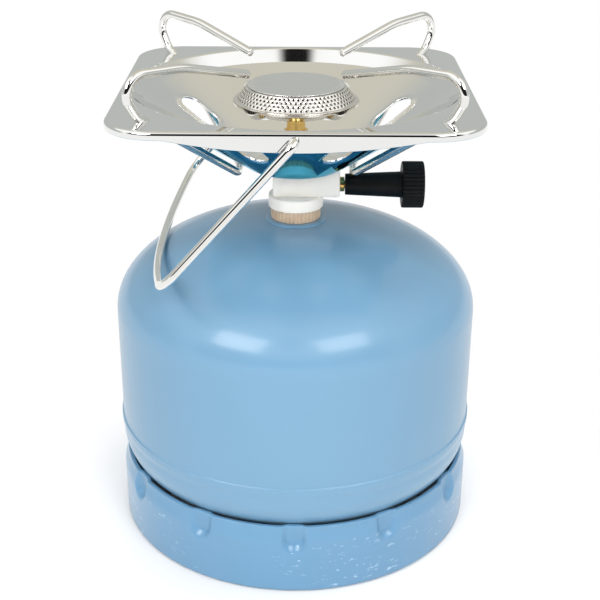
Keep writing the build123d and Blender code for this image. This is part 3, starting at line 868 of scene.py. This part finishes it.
@dataclass
class Knob:
    """Black knob with a long tapered neck and a ribbed head."""

    bore: float = 2.03
    neck: float = 5.8
    neck_end: float = 7.15
    neck_length: float = 31.0
    screw_bore: float = 1.25
    recess: float = 3.4
    recess_depth: float = 9.0
    bore_depth: float = 24.05
    edge: float = 0.8
    ribs: int = 34
    rib_depth: float = 0.6
    rib_skin: float = 0.75
    rib_steps: int = 12

    def build(self) -> None:
        """Makes the knob."""
        low, high = reach_of("control_knob")
        level = (low[2] + high[2]) / 2
        start, end, head = low[0], high[0], high[2] - level
        shoulder = start + self.neck_length
        floor = end - self.recess_depth
        bore_end = start + self.bore_depth
        corners = [
            [self.bore, start], [self.neck, start], [self.neck_end, shoulder], [head, shoulder], [head, end],
            [self.recess, end], [self.recess, floor], [self.screw_bore, floor], [self.screw_bore, bore_end],
            [self.bore, bore_end]]
        rounds = [0.1, 0.4, 0.9, self.edge, self.edge, 0.5, 0.1, 0.1, 0.1, 0.1]
        outline = filleted(corners, rounds, guard=0.2)
        segments = self.ribs * self.rib_steps
        swell = grooves(outline, segments, self.ribs, self.rib_depth, head - self.rib_skin)
        surface = revolved(outline, segments, swell).along_tap(level)
        add_piece("tap_knob", surface, BLACK_PLASTIC, Body.TAP, ["control_knob"])


@dataclass
class Tray:
    """Mirror-bright pressed tray: square plate with a turned-down lip, and a dish with rimmed slots."""

    sheet: float = 1.0
    hole: float = 4.5
    floor: float = 25.0
    slope: float = 0.66
    wall_run: float = 7.0
    wall_rise: float = 7.0
    rim_strip: float = 4.4
    plate_start: float = 2.0
    corner: float = 27.0
    lip: float = 4.2
    lip_middle: float = 10.0
    lip_arc_half: float = 62.0
    lip_bend: float = 2.0
    lip_guard: float = 0.3
    edge_slack: float = 1e-6
    nose_guard: float = 0.15
    floor_bend: float = 6.0
    wall_bend: float = 2.2
    slots: int = 8
    slot_mid: float = 58.0
    slot_length: float = 25.0
    slot_width: float = 14.0
    slot_rim: float = 1.2
    slot_flare: float = 4.5
    slot_shares: tuple[float, ...] = (1.0, 0.8, 0.6, 0.42, 0.26, 0.12, 0.03)
    ring_low: float = 39.5
    ring_high: float = 75.5
    columns: int = 448
    side_steps: int = 22
    crease: float = 50.0
    half: float = field(init=False)
    top: float = field(init=False)
    rim: float = field(init=False)
    base: float = field(init=False)
    lean: float = field(init=False)

    def __post_init__(self) -> None:
        """Takes the tray's place from the frame, and works out where the dish meets plate and floor."""
        self.half, _, self.top = reach_of("tray_dish")[1]
        self.rim = self.half - self.rim_strip
        self.base = self.top - self.wall_rise - self.slope * (self.rim - self.wall_run - self.floor)
        self.lean = math.atan(self.slope)

    def build(self) -> None:
        """Makes the tray."""
        parts = [strip_about_z(self.floor_line(), angles(self.columns).T), self.plate_strip()]
        ring = Surface.grid(self.slot_ring(), close_columns=True)
        parts += [ring.about_z(360 / self.slots * (k + 0.5)) for k in range(self.slots)]
        tray = Surface.joined(parts)
        # Downward faces take the teal-tinted chrome, a painted reflection of the blue cylinder below.
        add_piece("tray", tray, CHROME, Body.STOVE, ["tray_dish"], crease=self.crease, below=PAINTED_REFLECTION_CHROME)

    def cone_z(self, radius: float) -> float:
        """Height of the dish's inner face at a radius."""
        return self.base + (radius - self.floor) * self.slope

    def thickened(self, line: Array) -> Array:
        """A section line and its copy one sheet below, as one line that goes back along the copy.

        Args:
            line: Radius and height of the inner face, from the axis outwards.

        Returns:
            The line, followed by its offset in reverse.
        """
        along = unit(np.gradient(line, axis=0))
        below = np.stack([along[:, 1], -along[:, 0]], -1)
        below[0] = unit(np.array([line[1, 1] - line[0, 1], line[0, 0] - line[1, 0]]))
        below[-1] = unit(np.array([line[-1, 1] - line[-2, 1], line[-2, 0] - line[-1, 0]]))
        return np.concatenate([line, (line + self.sheet * below)[::-1]])

    def floor_line(self) -> Array:
        """Section of the dish's floor and the lower cone.

        Returns:
            Radius and height of its points: the underside from the cone to the hole, and back on top.
        """
        rise = self.cone_z(self.ring_low)
        corners = [[self.hole, self.base], [self.floor, self.base], [self.ring_low, rise]]
        line = filleted(corners, self.floor_bend, steps=8, guard=0.4, closed=False)
        return np.roll(self.thickened(line), len(line), axis=0)

    def edge(self) -> tuple[Array, Array]:
        """Outer edge of the plate at the tray's columns: a square with round corners.

        A ray from the middle meets a side where the side is straight, and else the corner's circle at
        a (c + s) + sqrt(R^2 - a^2 (c - s)^2), with a the place of the corner's centre on both axes.

        Returns:
            Points on the edge and the edge's unit normals, both columns by 2.
        """
        angle = angles(self.columns)
        ray = np.concatenate([np.cos(angle), np.sin(angle)], -1)
        c, s = np.abs(ray).T
        centre = self.half - self.corner
        wide = self.half / np.maximum(np.maximum(c, s), TINY)
        bend = np.maximum(self.corner**2 - centre**2 * (c - s) ** 2, 0)
        on_side = np.minimum(c, s) * wide <= centre
        points = ray * np.where(on_side, wide, centre * (c + s) + np.sqrt(bend))[:, None]
        straight = np.where(np.stack([c >= s, s > c], -1), np.sign(ray), 0)
        normal = np.where(on_side[:, None], straight, unit(points - np.sign(ray) * centre))
        return points, normal

    def plate_strip(self) -> Surface:
        """Upper cone, wall, flat plate and lip, then back along the underside.

        The wall and its bends are turned about Z. The plate runs straight from there to the bend of the lip,
        and the lip's section is carried along the edge's normals.

        Returns:
            The strip, open where it meets the slots' part of the cone.
        """
        wall_foot = self.rim - self.wall_run
        corners = [
            [self.ring_high, self.cone_z(self.ring_high)], [wall_foot, self.cone_z(wall_foot)],
            [self.rim, self.top], [self.rim + self.plate_start, self.top]]
        line = filleted(corners, self.wall_bend, steps=7, guard=0.25, closed=False)
        around = angles(self.columns).T
        upper, lower = (
            ring_points(part[:, :1], around, part[:, 1:]) for part in np.split(self.thickened(line), 2))
        points, normal = self.edge()
        inset, level = self.lip_section(points)
        lip = np.concatenate([points - inset[:, None, None] * normal, level[:, :, None]], -1)
        return Surface.grid(np.concatenate([upper, lip, lower]), close_columns=True)

    def lip_section(self, points: Array) -> tuple[Array, Array]:
        """Section of the lip, from the plate round to its underside.

        The lip deepens along a circle's arc at the middle of the front and the back.

        Args:
            points: Points of the plate's edge.

        Returns:
            Inset from the edge for each section point, and height, section points by edge points.
        """
        drop = self.lip_middle - self.lip
        bow = (self.lip_arc_half**2 + drop**2) / (2 * drop)
        aside = np.minimum(np.abs(points[:, 0]), self.lip_arc_half)
        deeper = np.sqrt(bow**2 - aside**2) - (bow - drop)
        on_end = np.abs(points[:, 1]) > self.half - self.edge_slack
        low = self.top - self.lip - np.where(on_end, deeper, 0)
        bend, sheet, nose = self.lip_bend, self.sheet, self.sheet / 2
        turn = np.linspace(0, math.pi / 2, 7)
        tip = np.linspace(0, math.pi, 7)
        outer_in = bend * (1 - np.sin(turn))
        outer_z = self.top - bend * (1 - np.cos(turn))
        inner_in = (bend - (bend - sheet) * np.sin(turn))[::-1]
        inner_z = (self.top - bend + (bend - sheet) * np.cos(turn))[::-1]
        start, below_bend = bend + self.lip_guard, self.top - bend - self.lip_guard
        inset = np.concatenate([
            [start], outer_in, [0, 0], nose - nose * np.cos(tip), [sheet, sheet], inner_in, [start]])
        outer = np.concatenate([[self.top], outer_z, [below_bend]])[:, None] * np.ones_like(low)
        inner = np.concatenate([[below_bend], inner_z, [self.top - sheet]])[:, None] * np.ones_like(low)
        above_nose = (low + nose + self.nose_guard)[None]
        rounded = low + nose - nose * np.sin(tip)[:, None]
        level = np.concatenate([outer, above_nose, rounded, above_nose, inner])
        return inset, np.maximum(level, low)

    def sector(self) -> Array:
        """Border of one slot's part of the cone.

        Returns:
            Its points in the slot plane: along the slope and across it.
        """
        count, steps = self.columns // self.slots, self.side_steps
        half = math.pi / self.slots
        spread = np.linspace(-half, half, count + 1)
        climb = np.linspace(self.ring_low, self.ring_high, steps + 1)
        angle = np.concatenate([spread[:-1], np.full(steps, half), spread[:0:-1], np.full(steps, -half)])
        radius = np.concatenate([
            np.full(count, self.ring_low), climb[:-1], np.full(count, self.ring_high), climb[:0:-1]])
        rise = (radius - self.slot_mid) * self.slope
        out = radius * np.cos(angle) - self.slot_mid
        along = out * math.cos(self.lean) + rise * math.sin(self.lean)
        return np.stack([along, radius * np.sin(angle)], -1)

    def slot_loop(self, grow: float, ray: Array) -> Array:
        """Where rays from the slot's middle meet its outline, grown by an offset.

        The outline is two half circles joined by straight sides: a ray meets a side where it can, and else
        the half circle of radius q about (a, 0) at a u + sqrt(q^2 - a^2 w^2).

        Args:
            grow: Offset outwards from the slot's edge.
            ray: Unit directions in the slot plane.

        Returns:
            Points in the slot plane.
        """
        radius = self.slot_width / 2 + grow
        straight = (self.slot_length - self.slot_width) / 2
        u, w = np.abs(ray).T
        side = radius / np.maximum(w, TINY)
        cap = straight * u + np.sqrt(np.maximum(radius**2 - (straight * w) ** 2, 0))
        return ray * np.where(side * u <= straight, side, cap)[:, None]

    def on_cone(self, flat: Array) -> tuple[Array, Array]:
        """Lifts points of the slot plane onto the cone along the plane's normal.

        The lift h solves A h^2 + B h + w^2 = 0, with A = -cos 2L / sin^2 L and B = 2 a / sin L, where L is
        the cone's lean and a the radius under the point on the middle line.

        Args:
            flat: Points in the slot plane, along the slope and across it.

        Returns:
            Points on the cone's inner face, and the outward unit normals of the cone there.
        """
        along, across = flat[..., 0], flat[..., 1]
        c, s = math.cos(self.lean), math.sin(self.lean)
        reach = self.slot_mid + along * c
        a = -math.cos(2 * self.lean) / s**2
        b = 2 * reach / s
        lift = (-b + np.sqrt(b**2 - 4 * a * across**2)) / (2 * a)
        x = reach + lift * s
        z = self.cone_z(self.slot_mid) + along * s - lift * c
        angle = np.arctan2(across, x)
        normal = np.stack([s * np.cos(angle), s * np.sin(angle), np.full_like(x, -c)], -1)
        return np.stack([x, across, z], -1), normal

    def slot_ring(self) -> Array:
        """One slot with its part of the cone: loops from the border in, over the raised rim and back below.

        On the cone the loops share out the way from the flare's foot to the border. Over the flare both
        faces rise by the rim's height times t^2, a sheet apart, and the edge between them is rounded.

        Returns:
            Loops by points by 3, about the X axis.
        """
        border = self.sector()
        ray = unit(border)
        out = np.array([math.sin(self.lean), 0, -math.cos(self.lean)])
        flare, nose = self.slot_flare, self.sheet / 2
        climb = np.linspace(0, 1, 9)
        tip = np.linspace(0, math.pi / 2, 6)[1:]
        foot = self.slot_loop(flare, ray)
        cone = [self.on_cone(border * share + foot * (1 - share)) for share in self.slot_shares]
        grow = np.concatenate([flare + (nose - flare) * climb, nose * (1 - np.sin(tip)), flare * climb])
        rise = np.concatenate([
            self.slot_rim * climb**2, self.slot_rim - nose * (1 - np.cos(tip)),
            self.slot_rim * (1 - climb) ** 2 - self.sheet])
        rim = [self.on_cone(self.slot_loop(g, ray))[0] - out * r for g, r in zip(grow, rise)]
        inside = [point for point, _ in cone]
        under = [point + self.sheet * normal for point, normal in cone[::-1]]
        return np.stack(inside + rim + under)


@dataclass
class Burner:
    """Pressed cup, perforated band and top disc of the burner."""

    sheet: float = 0.8
    hub: float = 5.05
    hub_wall: float = 1.95
    hub_clear: float = 0.2
    cup_floor: float = 23.0
    cup_floor_drop: float = 4.9
    cup_step: float = 0.7
    cup_segments: int = 256
    knee: float = 30.0
    knee_drop: float = 1.3
    rim_flat: float = 2.5
    bumps: int = 4
    bump_radius: float = 9.5
    bump_at: float = 27.0
    bump_drop: float = 5.3
    bump_from: float = 2.0
    bump_edge: float = 0.4
    bump_blend: float = 0.1
    band_foot: float = 31.9
    band_top: float = 26.7
    band_lap: float = 1.3
    foot_seam: float = 0.35
    top_seam: float = 0.1
    rows: int = 4
    holes: int = 72
    hole: float = 0.64
    hole_round: float = 0.12
    margin: float = 0.15
    cell_sides: int = 4

    def build(self) -> None:
        """Makes the cup, the band and the top disc."""
        low, high = reach_of("burner_cap")
        corners = [[0, low[2]], [high[0], low[2]], [high[0], high[2]], [0, high[2]]]
        disc = revolved(filleted(corners, [0, 0.15, 0.45, 0], guard=0.3))
        for name, surface, finish, node in (
            ("burner_base", self.cup_surface(), BURNER_STEEL, "burner_cup"),
            ("flame_band", self.band_surface(), BURNER_STEEL, "burner_band"),
            ("burner_disc", disc, CAP_STEEL, "burner_cap"),
        ):
            add_piece(name, surface, finish, Body.STOVE, [node])

    def cup_surface(self) -> Surface:
        """Cup turned about Z from its sheet section, with round bumps pressed down out of it.

        A bump lowers the sheet by (g + sqrt(g^2 + blend)) / 2, a softened step of the gap g by which its
        sphere lies below the sheet. Both faces move alike.

        Returns:
            The closed surface.
        """
        low, high = reach_of("burner_cup")
        rim, _, rim_z = high
        floor = rim_z - self.cup_floor_drop
        corners = [
            [self.hub, floor], [self.cup_floor, floor], [self.knee, rim_z - self.knee_drop],
            [rim - self.rim_flat, rim_z], [rim, rim_z]]
        line = evenly(filleted(corners, [0, 1.5, 0.8, 0.8, 0], closed=False), self.cup_step)
        along = unit(np.gradient(line, axis=0))
        under = line + self.sheet * np.stack([along[:, 1], -along[:, 0]], -1)
        hub_out = self.hub + self.hub_wall
        skirt = under[under[:, 0] > hub_out + self.hub_clear][::-1]
        hub = [[hub_out, floor - self.sheet], [hub_out, low[2]], [self.hub, low[2]]]
        radius, height = np.concatenate([line, skirt, hub]).T
        sheet_z = np.interp(radius, line[:, 0], line[:, 1]) - self.sheet
        angle = angles(self.cup_segments)
        pitch = TURN / self.bumps
        aside = angle % pitch - pitch / 2
        away = np.hypot(radius * np.cos(aside) - self.bump_at, radius * np.sin(aside))
        hollow = np.sqrt(np.maximum(self.bump_radius**2 - away**2, 0))
        gap = sheet_z - (rim_z - self.bump_drop + self.bump_radius - hollow)
        pressed = (away < self.bump_radius) & (gap > -self.bump_edge) & (radius > hub_out + self.bump_from)
        sink = np.where(pressed, (gap + np.sqrt(gap**2 + self.bump_blend)) / 2, 0)
        points = ring_points(radius, angle, height - sink)
        return Surface.grid(points, close_rows=True, close_columns=True)

    def band_surface(self) -> Surface:
        """Perforated band: plain strips at its foot and top, and a cell for each hole between them.

        A cell is bordered by a rectangle on the cone and by its hole. Its loops go from the rectangle to the
        hole, through the sheet and back to the rectangle on the inner face. Every second row is half a cell
        round, which is a whole number of border steps, so the rows meet.

        Returns:
            Cells and strips as one surface.
        """
        low, high = reach_of("burner_band")
        foot = np.array([self.band_foot, low[2] + self.sheet])
        top = np.array([self.band_top, high[2]])
        slope = top - foot
        slant = math.hypot(*slope)
        inward = np.array([-slope[1], slope[0]]) / slant * self.sheet
        pitch = (1 - 2 * self.margin) / (self.rows - 1)
        cell = TURN / self.holes

        def on_band(share: Array, angle: Array, depth: int) -> Array:
            """Points of the outer face at depth 0, or of the inner one at 1, by share of the slant."""
            radius, height = (foot[k] + slope[k] * share + depth * inward[k] for k in (0, 1))
            return ring_points(radius, angle, height)

        side = np.linspace(-0.5, 0.5, self.cell_sides + 1)[:-1]
        half = np.full(self.cell_sides, 0.5)
        across = np.concatenate([side, half, -side, -half])
        up = np.concatenate([-half, side, half, -side])
        heading = np.arctan2(up * pitch * slant, across * cell * self.band_foot)
        parts = []
        for row in range(self.rows):
            middle = self.margin + pitch * row
            start = np.arange(self.holes)[:, None] * cell + row % 2 * cell / 2
            radius = foot[0] + slope[0] * middle
            border = (middle + up * pitch, start + across * cell)
            edge, hole = (
                (middle + size * np.sin(heading) / slant, start + size * np.cos(heading) / radius)
                for size in (self.hole + self.hole_round, self.hole))
            outer, inner = on_band(*hole, 0), on_band(*hole, 1)
            outer = outer + (inner - outer) * self.hole_round
            loops = [on_band(*border, 0), on_band(*edge, 0), outer, inner, on_band(*border, 1)]
            parts += [Surface.grid(ring, close_columns=True) for ring in np.stack(loops, 1)]
        around = angles(self.holes * self.cell_sides).T + cell / 2
        ends = [foot + slope * share for share in (self.margin - pitch / 2, 1 - self.margin + pitch / 2)]
        parts += [strip_about_z(line, around) for line in self.plain_strips(foot, top, ends, inward)]
        return Surface.joined(parts)

    def plain_strips(self, foot: Array, top: Array, ends: list[Array], inward: Array) -> list[Array]:
        """Sections of the plain strips at the band's foot and top, each from the outer face to the inner.

        Args:
            foot: Radius and height of the band's foot.
            top: Radius and height of its top.
            ends: Borders of the lowest and the highest cells.
            inward: Offset of the inner face.

        Returns:
            The foot's and the top's section.
        """
        low, high = ends
        down = np.array([0, -self.sheet])
        toe, lip = foot + [self.band_lap, 0], top - [self.band_lap, 0]
        under_foot = foot + inward * [1, 0] + [self.foot_seam, 0] + down
        under_top = top + [self.top_seam, 0] + down
        foot_line = [low, foot, toe, toe + down, under_foot, low + inward]
        top_line = [high, top, lip, lip + down, under_top, high + inward]
        return [
            filleted(foot_line, [0, 0.2, 0.3, 0.3, 0.2, 0], steps=4, closed=False),
            filleted(top_line, [0, 0.25, 0.2, 0.2, 0.05, 0], steps=4, closed=False)]


@dataclass
class WireWork:
    """Chromed wire pan supports and carrying bail."""

    wire: float = 2.285
    step: float = 1.0
    tray_half: float = 92.4
    tray_corner: float = 27.0
    burner_rim: float = 33.7
    foot_inset: float = 18.0
    tip_out: float = 0.8
    tip_rise: float = 10.9
    shoulder_in: float = 23.5
    shoulder_rise: float = 21.2
    top_out: float = 7.0
    top_rise: float = 22.7
    leg_out: float = 10.7
    leg_rise: float = 12.0
    ankle_out: float = 5.0
    ankle_rise: float = 2.6
    foot_in: float = 9.0
    foot_drop: float = 6.7
    bends: tuple[float, ...] = (60.0, 10.0, 8.0, 12.0, 20.0, 12.0)
    knee_x: float = 31.0
    knee_half: float = 7.5
    tray_depth: float = 43.96
    knee_drop: float = 3.15
    bail_drop: float = 4.2
    bail_reach: float = 112.0
    bail_bow: float = 330.0
    bail_corner: float = 14.0
    bail_elbow: float = 4.5
    bail_pin_in: float = 1.6
    sheet: float = 1.0

    def build(self) -> None:
        """Makes the two supports and the bail."""
        for side in Side:
            node = f"pan_support_{side.name.lower()}"
            surface = self.support_surface().about_z(side.value)
            add_piece(f"{node}_wire", surface, WIRE_CHROME, Body.STOVE, [node])
        add_piece("carrying_bail", self.bail_surface(), WIRE_CHROME, Body.BAIL, ["bail_handle"])

    def support_surface(self) -> Surface:
        """Left support: from its front tip down through the tray, under the dish and back to the other tip.

        The front arm lies in the plane of the tray's diagonal. The back half mirrors the front half.

        Returns:
            The wire's closed surface.
        """
        tray = reach_of("tray_dish")[1][2]
        foot = (self.tray_half - self.tray_corner) * math.sqrt(2) + self.tray_corner - self.foot_inset
        arm = np.array([
            [self.burner_rim + self.tip_out, tray + self.tip_rise],
            [foot - self.shoulder_in, tray + self.shoulder_rise],
            [foot + self.top_out, tray + self.top_rise],
            [foot + self.leg_out, tray + self.leg_rise],
            [foot + self.ankle_out, tray + self.ankle_rise],
            [foot - self.foot_in, tray - self.foot_drop]])
        diagonal = -math.sqrt(0.5) * arm[:, :1]
        knee = [[-self.knee_x, -self.knee_half, tray - self.tray_depth - self.knee_drop]]
        front = np.concatenate([np.concatenate([diagonal, diagonal, arm[:, 1:]], 1), knee])
        corners = np.concatenate([front, front[::-1] * [1, -1, 1]])
        bends = [0, *self.bends, *self.bends[::-1], 0]
        path = evenly(filleted(corners, bends, steps=16, closed=False), self.step)
        aside = np.stack([np.ones(len(path)), np.sign(path[:, 1]), np.zeros(len(path))], -1)
        return wire_along(path, aside, self.wire)

    def bail_surface(self) -> Surface:
        """Bail: half of its flat line is pin, elbow, leg, corner and half bow, and the rest mirrors it.

        The line is drawn across and down from the pivot, then leant back by the angle at which it rests,
        which follows from how far the bail reaches to the left.

        Returns:
            The wire's closed surface.
        """
        low, high = reach_of("bail_handle")
        side = high[1] - self.wire
        pivot = reach_of("tray_dish")[1][2] - self.bail_drop
        lean = math.asin((-low[0] - self.wire) / self.bail_reach)
        bow_z = self.bail_reach - self.bail_bow
        corner_y = side - self.bail_corner
        corner_z = bow_z + math.sqrt((self.bail_bow - self.bail_corner) ** 2 - corner_y**2)
        bow_from = math.degrees(math.atan2(corner_z - bow_z, corner_y))
        pin = self.tray_half - self.sheet - self.bail_pin_in
        right = np.concatenate([
            [[pin, 0.0]],
            arc((side - self.bail_elbow, self.bail_elbow), self.bail_elbow, -90, 0, 12),
            arc((corner_y, corner_z), self.bail_corner, 0, bow_from, 16),
            arc((0, bow_z), self.bail_bow, bow_from, 90, 40)[1:]])
        left = right[-2::-1] * [-1, 1]
        across, down = evenly(without_repeats(np.concatenate([right, left])), self.step).T
        path = np.stack([-down * math.sin(lean), across, pivot - down * math.cos(lean)], -1)
        return wire_along(path, np.array([-math.cos(lean), 0.0, math.sin(lean)]), self.wire)


@dataclass
class KeptNodes:
    """CAD nodes that show as they are, by their finishes."""

    groups: tuple[tuple[Finish, tuple[str, ...]], ...] = (
        (PLAIN_STEEL, ("bottle_valve_ball", "bottle_valve_spring", "bottle_valve_retainer", "pusher_pin",
                       "knob_screw", "clamp_washer")),
        (SEAL_RUBBER, ("coupling_seal", "spindle_oring")),
        (DULL_BRASS, ("gas_filter",)),
        (BRASS, ("tap_needle", "tap_spindle", "jet_holder", "gas_jet", "mixing_tube")),
    )

    def dress(self, nodes: dict[str, bpy.types.Object]) -> None:
        """Gives each kept node its finish.

        Args:
            nodes: Objects of the frame by node name.
        """
        for finish, names in self.groups:
            for name in names:
                mesh = nodes[name].data
                mesh.materials.clear()
                mesh.materials.append(finish.material())
                log.info("%s: kept, %s", name, finish.name)


@dataclass(frozen=True)
class Lamp:
    """A soft rectangular lamp that points at the stove; sizes and places are metres."""

    name: str
    place: Triple
    size: Range
    power: float
    mirrored: bool = True

    def hang(self, target: Triple) -> None:
        """Adds the lamp.

        Args:
            target: Point that it faces.
        """
        data = bpy.data.lights.new(self.name, "AREA")
        data.shape = "RECTANGLE"
        data.size, data.size_y = self.size
        data.energy = self.power
        lamp = bpy.data.objects.new(self.name, data)
        lamp.visible_glossy = self.mirrored
        lamp.location = self.place
        x, y, z = np.array(self.place) - np.array(target)
        lamp.rotation_euler = (math.atan2(math.hypot(x, y), z), 0, math.atan2(x, -y))
        bpy.context.scene.collection.objects.link(lamp)


@dataclass
class Studio:
    """Camera, lamps, surroundings and floor, in metres; the room's ranges are on a unit direction."""

    camera_place: Triple = (0.0026, -0.6273, 0.4092)
    camera_tilt: float = 65.789
    camera_roll: float = 0.3
    lens: float = 71.93
    sensor: float = 36.0
    target: Triple = (0.0, 0.0, 0.15)
    ambient: float = 0.61
    back_grey: Triple = (0.52, 0.54, 0.52)
    ceiling: Triple = (0.68, 0.655, 0.56)
    ceiling_up: Range = (0.45, 0.8)
    front_white: float = 1.15
    front_edge: Range = (0.12, 0.4)
    sides_up: Range = (0.3, 0.6)
    sides_share: float = 0.9
    dark: Triple = (0.01, 0.01, 0.01)
    patch_way: Triple = (0.0, -0.22, 0.975)
    patch_squeeze: Triple = (0.7, 1.4, 1.4)
    patch_edge: Range = (0.05, 0.12)
    strip_foot: Range = (0.02, 0.06)
    strip_top: Range = (0.7, 0.92)
    strip_front: Range = (-0.3, -0.55)
    floor_white: float = 0.78
    floor_shade: float = 0.985
    floor_level: float = -0.0002
    floor_rings: tuple[float, ...] = (0.0, 0.15, 0.4, 1.0, 4.0)
    floor_sides: int = 96
    floor_grain: float = 60.0
    shadow_edge: Range = (0.10, 0.22)
    lamps: tuple[Lamp, ...] = (
        Lamp("key", (-0.9, -1.1, 1.3), (0.9, 0.7), 13.0),
        Lamp("fill", (0.75, -1.1, 1.3), (0.9, 0.6), 9.0),
        Lamp("top", (0.1, 0.2, 1.7), (1.0, 0.6), 18.0, mirrored=False),
        Lamp("front", (0.1, -1.3, 0.9), (1.6, 0.3), 12.0, mirrored=False),
    )

    def build(self) -> None:
        """Sets up everything round the stove."""
        scene = bpy.context.scene
        scene.view_settings.view_transform = "Standard"
        data = bpy.data.cameras.new("camera")
        data.lens = self.lens
        data.sensor_width = self.sensor
        camera = bpy.data.objects.new("camera", data)
        camera.location = self.camera_place
        tilt = Matrix.Rotation(math.radians(self.camera_tilt), 3, "X")
        camera.rotation_euler = (tilt @ Matrix.Rotation(math.radians(self.camera_roll), 3, "Z")).to_euler()
        scene.collection.objects.link(camera)
        scene.camera = camera
        for lamp in self.lamps:
            lamp.hang(self.target)
        self.surroundings(scene)
        self.lay_floor(scene)

    def surroundings(self, scene: bpy.types.Scene) -> None:
        """World: white to the camera, even light on the object, and a room for bright metal to mirror.

        In reflections the front and the upper sides are white, the ceiling is warm grey and the back is mid
        grey. A small patch overhead and a strip across the front, above the horizon, are dark.

        Args:
            scene: Scene to light.
        """
        world = bpy.data.worlds.new("studio")
        scene.world = world
        world.use_nodes = True
        graph = Graph(world.node_tree)
        path = graph.add("ShaderNodeLightPath").outputs
        way = graph.add("ShaderNodeTexCoord").outputs["Generated"]
        split = graph.add("ShaderNodeSeparateXYZ", {0: way}).outputs
        sides = graph.ramped(split["Z"], *self.sides_up, (0, self.sides_share))
        aside = graph.maths("MULTIPLY", graph.maths("ABSOLUTE", split["X"], 0.0), sides)
        front = graph.ramped(graph.maths("SUBTRACT", aside, split["Y"]), *self.front_edge)
        high = graph.ramped(split["Z"], *self.ceiling_up)
        room = graph.mixed(high, (*self.back_grey, 1), (*self.ceiling, 1))
        room = graph.mixed(front, room, (*[self.front_white] * 3, 1))
        offset = graph.vectors("SUBTRACT", way, self.patch_way).outputs[0]
        squeezed = graph.vectors("MULTIPLY", offset, self.patch_squeeze).outputs[0]
        away = graph.vectors("LENGTH", squeezed).outputs["Value"]
        room = graph.mixed(graph.ramped(away, *self.patch_edge, (1, 0)), room, (*self.dark, 1))
        foot = graph.ramped(split["Z"], *self.strip_foot)
        band = graph.maths("MULTIPLY", foot, graph.ramped(split["Z"], *self.strip_top, (1, 0)))
        strip = graph.maths("MULTIPLY", band, graph.ramped(split["Y"], *self.strip_front))
        room = graph.mixed(strip, room, (*self.dark, 1))
        mirror = graph.maths("MAXIMUM", path["Is Glossy Ray"], path["Is Transmission Ray"])
        colour = graph.mixed(mirror, (*[self.ambient] * 3, 1), room)
        colour = graph.mixed(path["Is Camera Ray"], colour, WHITE)
        shade = graph.add("ShaderNodeBackground", {"Color": colour, "Strength": 1.0})
        graph.add("ShaderNodeOutputWorld", {"Surface": shade.outputs[0]})

    def lay_floor(self, scene: bpy.types.Scene) -> None:
        """Lays a round pale floor, worked out in metres.

        Args:
            scene: Scene to add it to.
        """
        rings = np.array(self.floor_rings)[:, None]
        points = ring_points(rings, angles(self.floor_sides).T, self.floor_level)
        surface = Surface.grid(points, close_columns=True)
        mesh = bpy.data.meshes.new("floor")
        mesh.from_pydata(surface.points.tolist(), [], surface.faces[:, ::-1].tolist())
        mesh.materials.append(self.floor_material())
        floor = bpy.data.objects.new("floor", mesh)
        scene.collection.objects.link(floor)

    def floor_material(self) -> bpy.types.Material:
        """White floor: matt near the stove, plain white to the camera further out, and clear from below.

        Returns:
            The material.
        """
        material = bpy.data.materials.new("floor_white")
        material.use_nodes = True
        graph = Graph(material.node_tree)
        place = graph.add("ShaderNodeTexCoord").outputs["Object"]
        reach = graph.vectors("LENGTH", place).outputs["Value"]
        pale, dull = ((*[white] * 3, 1) for white in (self.floor_white, self.floor_white * self.floor_shade))
        tone = graph.mixed(graph.noise(place, self.floor_grain), pale, dull)
        matt = graph.add("ShaderNodeBsdfDiffuse", {"Color": tone})
        glow = graph.add("ShaderNodeEmission", {"Color": WHITE, "Strength": 1.0})
        path = graph.add("ShaderNodeLightPath").outputs
        seen = graph.maths("MAXIMUM", path["Is Camera Ray"], path["Is Glossy Ray"])
        seen = graph.maths("MAXIMUM", seen, path["Is Transmission Ray"])
        share = graph.maths("MULTIPLY", seen, graph.ramped(reach, *self.shadow_edge))
        mix = graph.add("ShaderNodeMixShader", {0: share, 1: matt.outputs[0], 2: glow.outputs[0]})
        below = graph.add("ShaderNodeNewGeometry").outputs["Backfacing"]
        clear = graph.add("ShaderNodeBsdfTransparent")
        mix = graph.add("ShaderNodeMixShader", {0: below, 1: mix.outputs[0], 2: clear.outputs[0]})
        graph.add("ShaderNodeOutputMaterial", {"Surface": mix.outputs[0]})
        return material


def main() -> None:
    """Builds the stove's pieces in order, then the studio."""
    logging.basicConfig(level=logging.INFO, format="%(name)s %(message)s")
    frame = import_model()
    for assembly in (GasCylinder(), BottleValve(), TapBlock(), Knob(), Tray(), Burner(), WireWork()):
        assembly.build()
    KeptNodes().dress(frame["nodes"])
    Studio().build()


if __name__ == "__main__":
    main()
